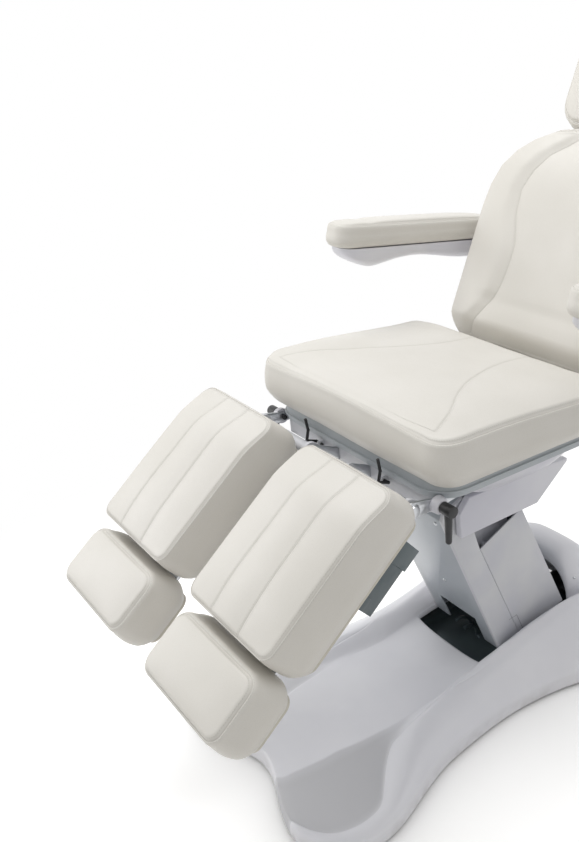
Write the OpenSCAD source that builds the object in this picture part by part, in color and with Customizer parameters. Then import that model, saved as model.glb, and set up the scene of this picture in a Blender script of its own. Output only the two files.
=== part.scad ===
// Podiatry chair on a swing-arm lift, with a moulded floor base, two leg rests that tilt,
// swing and extend, a reclining back, hinged armrests and a sliding headrest.
// Millimetres. +X is the sitter's left, -Y is the way the chair faces, +Z is up.
// The origin is on the floor under the middle of the base.

/* [Seat] */
// Width of the seat cushion
seat_w = 600; // [560:5:640]
// Length of the seat cushion, front to back
seat_l = 512; // [490:2:520]
// Distance of the seat cushion's front ahead of the origin
seat_front = 215; // [205:1:225]
// Height of the seat cushion's underside above the lift arm's upper pivot
seat_rise = 200; // [195:1:210]
// Height of the seat cushion from its underside to its top seam
seat_t = 88; // [70:1:100]
// Rise of the seat's padding above its top seam
seat_crown = 20; // [8:1:30]

/* [Backrest] */
// Width of the back cushion
back_w = 572; // [540:2:600]
// Length of the back cushion along its slope
back_l = 508; // [470:2:540]
// Lean of the back from upright, in degrees
back_lean = 23.5; // [18:0.5:26]
// Thickness of the back cushion up to its front seam
back_t = 80; // [60:1:84]
// Depth of the moulded shell behind the back cushion
back_shell_t = 40; // [36:1:50]

/* [Headrest] */
// Width of the headrest
head_w = 350; // [260:5:400]
// Height of the headrest
head_l = 205; // [160:5:260]
// Thickness of the headrest cushion
head_t = 56; // [40:1:62]
// Gap between the back cushion's top and the headrest's lower edge
head_gap = 14; // [12:1:40]
// How far the headrest pulls up
head_travel = 90; // [40:5:100]

/* [Armrests] */
// Length of an armrest
armrest_l = 462; // [400:2:500]
// Width of an armrest
armrest_w = 88; // [70:1:100]
// Thickness of an armrest's pad
armrest_pad_t = 58; // [40:1:64]
// Gap between the back cushion's side and an armrest
armrest_gap = 30; // [24:1:40]
// Fall of an armrest towards the back, in degrees
armrest_fall = 4.5; // [2:0.5:7]

/* [Leg rests] */
// Width of a leg cushion
leg_w = 255; // [240:1:262]
// Half the gap between the two leg cushions
leg_gap = 54; // [50:1:60]
// Length of a leg cushion
leg_l = 316; // [300:2:340]
// Slope of the leg rests below level at rest, in degrees
leg_slope = 40.5; // [30:0.5:44]
// Thickness of a leg cushion from its board to its top seam
leg_t = 94; // [80:1:100]
// Length of a foot pad
foot_l = 118; // [100:2:140]
// Thickness of a foot pad from its board to its top seam
foot_t = 80; // [60:1:90]
// Gap between a leg cushion and its foot pad
foot_gap = 26; // [20:1:40]
// How far a foot pad pulls out
foot_travel = 100; // [60:5:110]

/* [Lift] */
// Length of the lift arm between its two pivots
lift_l = 397; // [380:1:410]
// Forward lean of the lift arm from upright at rest, in degrees
lift_lean = 24; // [20:0.5:28]
// Width of the lift arm's casing
lift_w = 230; // [220:2:240]
// Distance between the lift arm's pivots and the levelling link's pivots
link_gap = 60; // [56:1:64]
// Length of the crank that the lift motor pushes
crank_l = 62; // [58:1:66]

/* [Base] */
// Length of the base
base_l = 1010; // [960:10:1060]
// Width of the base across its lobes
base_w = 622; // [600:2:660]
// Wall thickness of the moulded covers
shell = 4; // [3:0.5:5]
// Height of the rubber feet
foot_pad_h = 8; // [6:0.5:12]
// Height of the tray in the middle of the base
tray_z = 50; // [48:1:56]

/* [Hidden] */
$fn = 32;

// General fits and steel sizes
cut = 1;
running_fit = 0.05;
soft_gap = 0.3;
plate_t = 8;
thin_plate_t = 6;
board_t = 12;

// Lift geometry: the lower pivot, the link's offset and the upper pivot
pivot_y = 215;
pivot_z = 112;
link_angle = 34;
link_dy = link_gap * cos(link_angle);
link_dz = link_gap * sin(link_angle);
top_y = pivot_y - lift_l * sin(lift_lean);
top_z = pivot_z + lift_l * cos(lift_lean);
arm_shaft_r = 14;
link_shaft_r = 9;
pedestal_x = 48;
arm_plate_x = 76;
link_x = 28;
link_bar_t = 12;
arm_clear = 4;

// The seat keeps its height above the arm's upper pivot
seat_z = round(top_z) + seat_rise;

// Lift motor: its pivot on the base and the crank's place on the arm
lift_mid_lean = 33;
lift_motor_inset = 50;
lift_motor_y = base_l / 2 - lift_motor_inset;
lift_motor_z = 62;
crank_angle = lift_lean - lift_mid_lean;
crank_y = pivot_y + crank_l * sin(crank_angle);
crank_z = pivot_z - crank_l * cos(crank_angle);
motor_pin_r = 6;
open_pin_clear = 6.2;
crank_slot = 24;

// Seat tilt hinge, its motor's two pivots, and the back hinge with its motor's two pivots
tilt_y = 190;
tilt_z = seat_z - 75;
tilt_shaft_r = 9;
tilt_motor_y = 105;
tilt_motor_z = seat_z - 118;
tilt_rod_y = -60;
tilt_rod_z = seat_z - 59;
back_y = seat_l - seat_front + 28;
back_z = seat_z - 15;
back_shaft_r = 10;
back_hub_r = 18;
back_crank_l = 58;
back_crank_mid = 31;
back_crank_y = back_y + back_crank_l * sin(back_crank_mid);
back_crank_z = back_z - back_crank_l * cos(back_crank_mid);
back_motor_y = 18;
back_motor_z = seat_z - 77;
back_motor_x = 108;

// Leg hinge axis
leg_y = -(seat_front + 35);
leg_z = seat_z - 34;
leg_shaft_r = 8;

// Small shared shape functions
function smooth(u) = let (c = min(1, max(0, u))) c * c * (3 - 2 * c);
function mirrored(half) = concat([for (i = [len(half) - 1:-1:1]) -half[i]], half);
function column(table, k) = [for (row = table) row[k]];

// Smooth value at key x of a table of rows, whose first entries are the keys and k-th the values
function slope_at(t, i, k) =
    let (a = max(0, i - 1), b = min(len(t) - 1, i + 1)) (t[b][k] - t[a][k]) / (t[b][0] - t[a][0]);
function span_of(t, x, i = 0) = i >= len(t) - 2 || x <= t[i + 1][0] ? i : span_of(t, x, i + 1);
function curve(t, x, k = 1) =
    let (i = span_of(t, x), h = t[i + 1][0] - t[i][0], u = min(1, max(0, (x - t[i][0]) / h)))
    let (a = t[i][k], b = t[i + 1][k], p = slope_at(t, i, k) * h, q = slope_at(t, i + 1, k) * h)
    a + u * (p + u * (3 * (b - a) - 2 * p - q + u * (p + q - 2 * (b - a))));

// A closed solid from a grid of top points, rings of side points and a bottom centre
function rim(g) = let (r = len(g) - 1, c = len(g[0]) - 1) concat(
    [for (i = [0:c]) g[0][i]],
    [for (j = [1:r]) g[j][c]],
    [for (i = [c - 1:-1:0]) g[r][i]],
    [for (j = [r - 1:-1:1]) g[j][0]]);
function rim_index(rows, cols) = concat(
    [for (i = [0:cols - 1]) i],
    [for (j = [1:rows - 1]) j * cols + cols - 1],
    [for (i = [cols - 2:-1:0]) (rows - 1) * cols + i],
    [for (j = [rows - 2:-1:1]) j * cols]);
module draped(g, rings, centre) {
    rows = len(g);
    cols = len(g[0]);
    edge = rim_index(rows, cols);
    n = len(edge);
    start = rows * cols;
    function at_ring(k, i) = k == 0 ? edge[i % n] : start + (k - 1) * n + i % n;
    points = concat([for (row = g) each row], [for (ring = rings) each ring], [centre]);
    last = len(points) - 1;
    top = [for (j = [0:rows - 2], i = [0:cols - 2], half = [0, 1])
        let (a = j * cols + i) half == 0 ? [a, a + cols, a + cols + 1] : [a, a + cols + 1, a + 1]];
    sides = [for (k = [1:len(rings)], i = [0:n - 1], half = [0, 1]) half == 0
        ? [at_ring(k - 1, i), at_ring(k - 1, i + 1), at_ring(k, i + 1)]
        : [at_ring(k - 1, i), at_ring(k, i + 1), at_ring(k, i)]];
    bottom = [for (i = [0:n - 1]) [at_ring(len(rings), i), at_ring(len(rings), i + 1), last]];
    polyhedron(points, concat(top, sides, bottom));
}

// Outline loop moved outwards by a distance, at a height
function moved_out(loop, distance, z) = let (n = len(loop)) [for (i = [0:n - 1])
    let (d = loop[(i + 1) % n] - loop[(i + n - 1) % n], m = norm([d.x, d.y]))
    [loop[i].x + distance * d.y / m, loop[i].y - distance * d.x / m, z]];

// A padded form: plan w by l from y = 0, seam at height t, corner radii r0 and r1 at its ends.
// Grooves are shares of the half width, and a drop is how far an end's top falls, and over what length.
corner_steps = 4;
function pad_rows(l, r0, r1, between) = concat(
    [for (k = [0:corner_steps]) let (a = 90 * k / corner_steps) [r0 * (1 - cos(a)), r0 * (1 - sin(a))]],
    [for (k = [1:between - 1]) [r0 + (l - r0 - r1) * k / between, 0]],
    [for (k = [corner_steps:-1:0]) let (a = 90 * k / corner_steps)
        [l - r1 * (1 - cos(a)), r1 * (1 - sin(a))]]);
function groove_at(s, grooves, reach) = len(grooves) == 0 ? 0
    : max([for (g = grooves) max(0, 1 - abs(abs(s) - g) / reach)]);
function pad_grid(w, l, t, r0, r1, crown, shares, between, grooves, groove_d, groove_share, drop0, drop1) =
    [for (row = pad_rows(l, r0, r1, between)) [for (s = mirrored(shares))
        let (y = row[0], x = s * (w / 2 - row[1]), v = 2 * y / l - 1, u = 2 * x / w)
        let (dome = crown * (1 - pow(abs(u), 4)) * (1 - pow(abs(v), 4)))
        let (fall = drop0[0] * (1 - smooth(y / drop0[1])) + drop1[0] * (1 - smooth((l - y) / drop1[1])))
        let (inside = (1 - pow(abs(v), 8)) * (abs(s) < 1 ? 1 : 0))
        [x, y, t + dome - fall - groove_d * inside * groove_at(s, grooves, groove_share)]]];
module pad(w, l, t, r0, r1, crown, bulge, pull, shares, between, grooves = [], groove_d = 0,
           groove_share = 1, drop0 = [0, 1], drop1 = [0, 1]) {
    g = pad_grid(w, l, t, r0, r1, crown, shares, between, grooves, groove_d, groove_share, drop0, drop1);
    edge = rim(g);
    low = [for (p = edge) p.z];
    mid = moved_out(edge, bulge, 0);
    raised = [for (i = [0:len(edge) - 1]) [mid[i].x, mid[i].y, low[i] / 2]];
    draped(g, [raised, moved_out(edge, -pull, 0)], [0, l / 2, 0]);
}

// Places and directions
module in_arm() { translate([0, pivot_y, pivot_z]) rotate([lift_lean, 0, 0]) children(); }
module in_leg() { translate([0, leg_y, leg_z]) rotate([leg_slope, 0, 0]) children(); }
module in_back() { translate([0, back_y, back_z]) rotate([-back_lean, 0, 0]) children(); }
module on_right() { mirror([1, 0, 0]) children(); }
module both_sides() { children(); on_right() children(); }
// Extrudes an outline in Y and Z along X
module across(x0, x1) { translate([x0, 0, 0]) rotate([90, 0, 90]) linear_extrude(x1 - x0) children(); }
module pin(y, z, r, x0, x1) { translate([x0, y, z]) rotate([0, 90, 0]) cylinder(h = x1 - x0, r = r); }
module spot(y, z, r) { translate([y, z]) circle(r); }
module block(low, high) { translate(low) cube(high - low); }
module rounded_plan(w, l, r) { offset(r) square([w - 2 * r, l - 2 * r], center = true); }
// Turns a thing that lies along +Y from the origin so that it points from one pivot to another
module towards(y0, z0, y1, z1) {
    translate([0, y0, z0]) rotate([atan2(z1 - z0, y1 - y0), 0, 0]) children();
}

// Colours
cream = [0.88, 0.87, 0.84];
shell_grey = [0.76, 0.76, 0.79];
arm_grey = [0.68, 0.68, 0.70];
tray_grey = [0.55, 0.57, 0.57];
dark_steel = [0.26, 0.29, 0.29];
steel = [0.72, 0.73, 0.74];
black = [0.07, 0.07, 0.08];

// Base: stations along its length as shares of half the length, then the half width, the crest's,
// crease's and middle tongue's places as shares of the half width, and the heights of the crest,
// the tongue and the dish beside it as shares of the highest crest
crest_h = 150;
base_shares = [
    [-1.00, 0.70, 0.93, 0.86, 0.36, 0.27, 0.31, 0.245],
    [-0.98, 0.80, 0.93, 0.87, 0.35, 0.27, 0.32, 0.245],
    [-0.93, 0.93, 0.945, 0.88, 0.32, 0.27, 0.33, 0.24],
    [-0.86, 0.985, 0.95, 0.89, 0.32, 0.27, 0.33, 0.24],
    [-0.78, 1.00, 0.95, 0.89, 0.33, 0.275, 0.33, 0.24],
    [-0.70, 0.985, 0.94, 0.87, 0.34, 0.29, 0.33, 0.24],
    [-0.64, 0.955, 0.91, 0.79, 0.37, 0.33, 0.33, 0.24],
    [-0.56, 0.905, 0.85, 0.67, 0.41, 0.39, 0.33, 0.25],
    [-0.50, 0.865, 0.79, 0.60, 0.44, 0.44, 0.33, 0.265],
    [-0.42, 0.82, 0.73, 0.56, 0.48, 0.485, 0.33, 0.29],
    [-0.34, 0.785, 0.70, 0.54, 0.50, 0.52, 0.33, 0.32],
    [-0.16, 0.75, 0.66, 0.52, 0.49, 0.59, 0.33, 0.33],
    [0.00, 0.735, 0.64, 0.49, 0.46, 0.67, 0.34, 0.34],
    [0.14, 0.745, 0.64, 0.47, 0.44, 0.76, 0.36, 0.36],
    [0.34, 0.80, 0.60, 0.45, 0.42, 0.90, 0.44, 0.44],
    [0.54, 0.90, 0.56, 0.44, 0.41, 1.00, 0.62, 0.62],
    [0.70, 0.975, 0.54, 0.44, 0.41, 0.98, 0.74, 0.74],
    [0.82, 1.00, 0.54, 0.46, 0.43, 0.84, 0.72, 0.72],
    [0.91, 0.965, 0.56, 0.46, 0.43, 0.62, 0.58, 0.58],
    [0.97, 0.85, 0.58, 0.46, 0.43, 0.46, 0.45, 0.45],
    [1.00, 0.70, 0.60, 0.46, 0.43, 0.38, 0.38, 0.38]
];
base_rows_shares = [-1, -0.985, -0.955, -0.91, -0.86, -0.8, -0.72, -0.64, -0.56, -0.48, -0.4, -0.32,
    -0.24, -0.16, -0.08, 0, 0.08, 0.16, 0.24, 0.32, 0.4, 0.48, 0.56, 0.64, 0.72, 0.8, 0.86, 0.91,
    0.955, 0.985, 1];
band_h = 34;
notch_d = 52;
notch_w = 190;
notch_fade = 0.45;
shoulder = 16;
slot_w = 244;
slot_front = 42;
slot_margin = 43;
slot_l = base_l / 2 - slot_margin - slot_front;
slot_r = 12;

// One station's points from the middle to the edge, pulled in by a wall thickness
function notch(x, v) = notch_d * (1 - smooth(abs(x) / notch_w)) * smooth((-v - notch_fade) / (1 - notch_fade));
function base_half(v, wall) =
    let (w = curve(base_shares, v, 1) * base_w / 2 - wall, crest = curve(base_shares, v, 2) * w)
    let (crease = curve(base_shares, v, 3) * w, tongue = curve(base_shares, v, 4) * w)
    let (top = curve(base_shares, v, 5) * crest_h - wall, low = curve(base_shares, v, 6) * crest_h - wall)
    let (dish = curve(base_shares, v, 7) * crest_h - wall, edge = min(foot_pad_h + band_h - wall, dish))
    let (mid = (edge + top) / 2, step = min(shoulder / 2, (crease - tongue) / 3))
    let (lip = min(shoulder / 2, (crest - crease) / 4), brim = min(shoulder, (w - crest) / 4))
    [[0, low], [tongue, low], [tongue + step, low - (low - dish) / 4], [crease - step, dish],
        [crease + lip, dish + (top - dish) / 6], [(crease + crest) / 2, (dish + top) / 2 + (top - dish) / 6],
        [crest, top], [(crest + w) / 2, (top + mid) / 2], [w - brim, (edge + mid) / 2], [w, edge]];
function base_grid(wall) = [for (v = base_rows_shares) let (half = base_half(v, wall), n = len(half) - 1)
    [for (i = [-n:n]) let (p = half[abs(i)], x = sign(i) * p[0])
        [x, v * (base_l / 2 - wall) + notch(x, v), p[1]]]];
module base_form(wall, floor_z) {
    g = base_grid(wall);
    draped(g, [[for (p = rim(g)) [p.x, p.y, floor_z]]], [0, 0, floor_z]);
}
module base_cover() {
    color(shell_grey) resize([base_w, base_l, 0]) difference() {
        base_form(0, foot_pad_h);
        base_form(shell, foot_pad_h - cut);
        translate([0, slot_front + slot_l / 2, 0])
            linear_extrude(crest_h + cut) rounded_plan(slot_w, slot_l, slot_r);
    }
}

// Rear hood over the lift motor: rows of share along its length, half width and height
hood_l = 178;
hood_over = 5;
hood_front = base_l / 2 + hood_over - hood_l;
hood_w = 290;
hood_h = 118;
hood_shares = [
    [0.00, 0.80, 0.92],
    [0.06, 0.84, 0.98],
    [0.20, 0.88, 1.00],
    [0.45, 0.94, 0.90],
    [0.70, 1.00, 0.62],
    [0.88, 0.98, 0.32],
    [1.00, 0.90, 0.12]
];
hood_arch_shares = [0, 0.25, 0.5, 0.7, 0.85, 0.95, 1];
function hood_foot(v) = let (s = (hood_front + v * hood_l) / (base_l / 2))
    curve(base_shares, s, 6) * crest_h;
function hood_point(v, s, wall) =
    let (w = curve(hood_shares, v, 1) * hood_w / 2 - wall, h = curve(hood_shares, v, 2) * hood_h - wall)
    [s * w, hood_front + v * hood_l, hood_foot(v) + h * pow(max(0, 1 - pow(abs(s), 4)), 1 / 2)];
module hood_form(wall, reach) {
    rows = [for (v = [0:0.1:1]) v];
    g = [for (v = rows) [for (s = mirrored(hood_arch_shares))
        let (p = hood_point(v, s, wall)) [p.x, v == 0 ? p.y - reach : p.y, p.z]]];
    draped(g, [[for (p = rim(g)) [p.x, p.y, hood_foot(0) - hood_h / 2]]],
        [0, hood_front + hood_l / 2, hood_foot(0) - hood_h / 2]);
}
module rear_hood() {
    color(shell_grey) resize([hood_w, 0, 0]) difference() {
        hood_form(0, 0);
        hood_form(shell, cut);
        translate([0, 0, soft_gap]) base_form(0, -shell);
    }
}

// Chassis: two floor rails, cross plates and the pedestal that carries the arm and link pivots
rail_x = 128;
rail_w = 30;
rail_h = 22;
chassis_margin = 35;
chassis_nose = 75;
chassis_front = chassis_nose - base_l / 2;
chassis_rear = base_l / 2 - chassis_margin;
cross_w = 60;
pedestal_front = 180;
pedestal_rear = 300;
pedestal_boss_r = 26;
link_boss_r = 20;
motor_lug_x = 16;
chassis_t = 8;
chassis_z = foot_pad_h;
module base_chassis() {
    color(dark_steel) {
        both_sides() block([rail_x, chassis_front, chassis_z],
            [rail_x + rail_w, chassis_rear, chassis_z + rail_h]);
        for (y = [chassis_front, chassis_rear - cross_w])
            block([-rail_x, y, chassis_z], [rail_x, y + cross_w, chassis_z + chassis_t]);
        block([-rail_x, slot_front - shoulder, chassis_z], [rail_x, chassis_rear, chassis_z + shell]);
        block([-rail_x, pedestal_front, chassis_z], [rail_x, pedestal_rear, chassis_z + chassis_t]);
        both_sides() difference() {
            across(pedestal_x, pedestal_x + plate_t) hull() {
                spot(pivot_y, pivot_z, pedestal_boss_r);
                spot(pivot_y + link_dy, pivot_z + link_dz, link_boss_r);
                translate([pedestal_front, chassis_z + chassis_t])
                    square([pedestal_rear - pedestal_front, chassis_t]);
            }
            pin(pivot_y, pivot_z, arm_shaft_r + running_fit, pedestal_x - cut, pedestal_x + plate_t + cut);
            pin(pivot_y + link_dy, pivot_z + link_dz, link_shaft_r, pedestal_x - cut,
                pedestal_x + plate_t + cut);
        }
        both_sides() difference() {
            across(motor_lug_x, motor_lug_x + plate_t) hull() {
                spot(lift_motor_y, lift_motor_z, 2 * motor_pin_r);
                translate([chassis_rear - cross_w / 2, chassis_z + chassis_t]) square([cross_w / 2, chassis_t]);
            }
            pin(lift_motor_y, lift_motor_z, motor_pin_r, motor_lug_x - cut, motor_lug_x + plate_t + cut);
        }
        pin(lift_motor_y, lift_motor_z, motor_pin_r, -motor_lug_x - plate_t, motor_lug_x + plate_t);
        both_sides() cover_posts();
    }
}

// Posts on the chassis that the moulded cover rests on, as tall as the cover's underside allows
post_nose_x = 60;
post_mid_y = -40;
post_rear_y = 330;
post_spots = [[post_nose_x, chassis_front + cross_w / 2], [rail_x + rail_w / 2, post_mid_y],
    [rail_x + rail_w / 2, post_rear_y]];
cover_post_r = 8;
function cover_under(x, y) = let (v = y / (base_l / 2 - shell), half = base_half(v, shell))
    min(lookup(x - cover_post_r, half), lookup(x + cover_post_r, half)) - soft_gap;
module cover_posts() {
    for (p = post_spots) {
        foot = p.x < rail_x ? chassis_z + chassis_t : chassis_z + rail_h;
        translate([p.x, p.y, foot]) cylinder(h = cover_under(p.x, p.y) - foot, r = cover_post_r);
    }
}

// Rubber feet under the rail ends and the middle of each rail
rubber_r = 14;
module rubber_feet() {
    color(black) both_sides() for (y = [chassis_front + cross_w / 2, 0, chassis_rear - cross_w / 2])
        translate([rail_x + rail_w / 2, y, 0]) cylinder(h = foot_pad_h, r = rubber_r);
}

// Mains inlet with its three pins, let into the rear end of the base beside the hood
inlet_w = 28;
inlet_h = 20;
inlet_d = 24;
inlet_pin = 3;
inlet_x = 0;
inlet_rise = 14;
inlet_z = foot_pad_h + inlet_rise;
module mains_inlet() {
    color(black) translate([inlet_x, base_l / 2 - inlet_d - shell - soft_gap, inlet_z]) {
        difference() {
            block([-inlet_w / 2, 0, -inlet_h / 2], [inlet_w / 2, inlet_d, inlet_h / 2]);
            block([shell / 2 - inlet_w / 2, shell, shell / 2 - inlet_h / 2],
                [inlet_w / 2 - shell / 2, inlet_d + cut, inlet_h / 2 - shell / 2]);
        }
        for (x = [-1, 0, 1]) translate([x * inlet_w / 4, 0, 0])
            block([-inlet_pin / 2, 0, -inlet_pin], [inlet_pin / 2, inlet_d - shell, inlet_pin]);
    }
}

// Control box on the chassis beside the motor
box_w = 60;
box_l = 120;
box_h = 42;
module control_box() {
    color(black) translate([-rail_x, pedestal_rear + shell, chassis_z + chassis_t])
        block([0, 0, 0], [box_w, chassis_rear - cross_w - pedestal_rear - 2 * shell, box_h]);
}

// Shafts on the base and the arm
shaft_end = 3;
module link_pivot_shaft() {
    color(steel) pin(pivot_y + link_dy, pivot_z + link_dz, link_shaft_r,
        -pedestal_x - plate_t - shaft_end, pedestal_x + plate_t + shaft_end);
}
module arm_pivot_shaft() {
    color(steel) pin(pivot_y, pivot_z, arm_shaft_r, -arm_plate_x - plate_t - shaft_end,
        arm_plate_x + plate_t + shaft_end);
}

// Arm frame: two side plates with eyes at both pivots, joined by a front web and a cross tube,
// and the crank that the motor pushes, clamped on the pivot shaft
eye_r = 34;
top_eye_r = 20;
web_from = 120;
web_to = 320;
web_y = -64;
arm_plate_w = 118;
cross_tube_r = 14;
cross_tube_y = 16;
crank_t = 14;
spigot_r = 6;
spigot_spots = [[-68, 150], [-68, 290], [-30, 150], [-30, 290]];
crank_eye_r = 13;
module arm_frame() {
    color(arm_grey) in_arm() {
        both_sides() difference() {
            across(arm_plate_x, arm_plate_x + plate_t) union() {
                hull() {
                    spot(0, 0, eye_r);
                    translate([web_y, web_from]) square([arm_plate_w, cut]);
                }
                translate([web_y, web_from]) square([arm_plate_w, web_to - web_from]);
                hull() {
                    spot(0, lift_l, top_eye_r);
                    translate([web_y, web_to - cut]) square([arm_plate_w, cut]);
                }
            }
            pin(0, 0, arm_shaft_r, arm_plate_x - cut, arm_plate_x + plate_t + cut);
            pin(0, lift_l, arm_shaft_r, arm_plate_x - cut, arm_plate_x + plate_t + cut);
        }
        block([-arm_plate_x, web_y, web_from], [arm_plate_x, web_y + thin_plate_t, web_to]);
        pin(cross_tube_y, (web_from + web_to) / 2, cross_tube_r, -arm_plate_x, arm_plate_x);
        // Spigots that carry the casing's side walls
        both_sides() for (p = spigot_spots)
            pin(p[0], p[1], spigot_r, arm_plate_x + cut, lift_w / 2 - shell - soft_gap);
    }
    color(arm_grey) difference() {
        across(-crank_t, crank_t) hull() {
            spot(pivot_y, pivot_z, eye_r * 2 / 3);
            spot(crank_y, crank_z, crank_eye_r);
        }
        pin(pivot_y, pivot_z, arm_shaft_r, -crank_t - cut, crank_t + cut);
        block([-lift_rod_r - soft_gap, crank_y - crank_slot, crank_z - crank_slot],
            [lift_rod_r + soft_gap, crank_y + crank_slot, crank_z + crank_slot]);
    }
    color(steel) pin(crank_y, crank_z, motor_pin_r, -crank_t, crank_t);
}

// Arm casing: front cover with its side walls, and the rear cover that closes it.
// The casing tapers a little from its foot to its head.
case_front_foot = 11;
case_mid_foot = -5;
case_rear_foot = -41;
case_head = 468;
case_front_low = 120;
case_front_high = 108;
case_rear_low = 92;
case_rear_high = 80;
case_seam = 55;
case_top_back = 40;
rear_head = 316;
case_r = 10;
notch_half = 62;
notch_top = 96;
module front_side() {
    polygon([
        [-case_front_low, case_front_foot], [-case_front_high, case_head - case_r],
        [-case_front_high + case_r, case_head], [-case_top_back, case_head],
        [-case_seam, rear_head], [-case_seam, case_mid_foot]
    ]);
}
module front_inside() {
    polygon([
        [-case_front_low + shell, case_mid_foot - cut], [-case_front_high + shell, case_head - case_r - shell / 2],
        [-case_front_high + case_r, case_head - shell], [-case_top_back - cut, case_head - shell],
        [-case_top_back + cut, case_head - shell], [cut - case_seam, rear_head], [cut - case_seam, case_mid_foot - cut]
    ]);
}
module arm_front_cover() {
    color(arm_grey) in_arm() difference() {
        across(-lift_w / 2, lift_w / 2) front_side();
        across(-lift_w / 2 + shell, lift_w / 2 - shell) front_inside();
        across(-notch_half, notch_half) translate([-case_front_low - cut, case_mid_foot - cut])
            square([case_front_low, notch_top - case_mid_foot]);
    }
}
module arm_rear_cover() {
    seam = -case_seam + soft_gap;
    color(arm_grey) in_arm() difference() {
        across(-lift_w / 2, lift_w / 2) polygon([
            [seam, case_mid_foot], [seam, rear_head], [case_rear_high, rear_head],
            [case_rear_low, case_rear_foot]
        ]);
        across(-lift_w / 2 + shell, lift_w / 2 - shell) polygon([
            [seam - cut, case_rear_foot - cut], [seam - cut, rear_head + cut],
            [case_rear_high - shell, rear_head + cut],
            [case_rear_low - shell, case_rear_foot - cut]
        ]);
        across(-notch_half, notch_half) translate([0, case_rear_foot - cut])
            square([case_rear_low + cut, notch_top / 2 - case_rear_foot]);
    }
}

// Levelling link: two bars with an eye at each end, tied by a sleeve at each pivot
link_eye_r = 16;
link_sleeve_r = 13;
module level_link() {
    color(dark_steel) translate([0, link_dy, link_dz]) in_arm() difference() {
        union() {
            both_sides() across(link_x, link_x + link_bar_t) union() {
                spot(0, 0, link_eye_r);
                spot(0, lift_l, link_eye_r);
                translate([-link_sleeve_r, 0]) square([2 * link_sleeve_r, lift_l]);
            }
            pin(0, lift_l / 2, link_sleeve_r, -link_x, link_x);
        }
        pin(0, 0, link_shaft_r + running_fit, -link_x - link_bar_t - cut, link_x + link_bar_t + cut);
        pin(0, lift_l, link_shaft_r + soft_gap, -link_x - link_bar_t - cut, link_x + link_bar_t + cut);
    }
}

// A linear motor along +Y from its pivot: pivot eye, motor body and guide tube with a blind bore
module motor(eye_w, body_r, body_from, body_to, tube_r, tube_to, rod_r, bore_from) {
    difference() {
        union() {
            pin(0, 0, 2 * motor_pin_r, -eye_w / 2, eye_w / 2);
            translate([0, 0, 0]) rotate([-90, 0, 0]) cylinder(h = body_from, r = motor_pin_r * 5 / 3);
            translate([0, body_from, 0]) rotate([-90, 0, 0]) cylinder(h = body_to - body_from, r = body_r);
            translate([0, body_to, 0]) rotate([-90, 0, 0]) cylinder(h = tube_to - body_to, r = tube_r);
        }
        pin(0, 0, motor_pin_r + running_fit, -eye_w / 2 - cut, eye_w / 2 + cut);
        translate([0, bore_from, 0]) rotate([-90, 0, 0]) cylinder(h = tube_to, r = rod_r + running_fit);
    }
}
// The rod of a linear motor, whose eye rides on the driven pin with an open clearance
module motor_rod(rod_r, from, to, eye_w, clear) {
    difference() {
        union() {
            translate([0, from, 0]) rotate([-90, 0, 0])
                cylinder(h = to - from - motor_pin_r - clear - cut, r = rod_r);
            pin(to, 0, motor_pin_r + clear + shell, -eye_w / 2, eye_w / 2);
        }
        pin(to, 0, motor_pin_r + clear, -eye_w / 2 - cut, eye_w / 2 + cut);
    }
}

// Lift motor and rod, lying on the floor of the base under the rear hood
lift_span = norm([crank_y - lift_motor_y, crank_z - lift_motor_z]);
lift_rod_r = 9;
lift_body_r = 30;
lift_body_from = 28;
lift_body_share = 0.384;
lift_body_to = lift_span * lift_body_share;
lift_tube_r = 18;
lift_tube_share = 0.664;
lift_tube_to = lift_span * lift_tube_share;
lift_bore_share = 0.232;
lift_bore_from = lift_span * lift_bore_share;
lift_rod_share = 0.448;
lift_rod_from = lift_span * lift_rod_share;
lift_eye_w = 17;
module at_lift_motor() { towards(lift_motor_y, lift_motor_z, crank_y, crank_z) children(); }
module lift_motor() {
    color(black) at_lift_motor() {
        motor(2 * motor_lug_x - 2 * soft_gap, lift_body_r, lift_body_from, lift_body_to, lift_tube_r,
            lift_tube_to, lift_rod_r, lift_bore_from);
    }
}
module lift_rod() {
    color(steel) at_lift_motor() motor_rod(lift_rod_r, lift_rod_from, lift_span, lift_eye_w, open_pin_clear);
}

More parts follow.
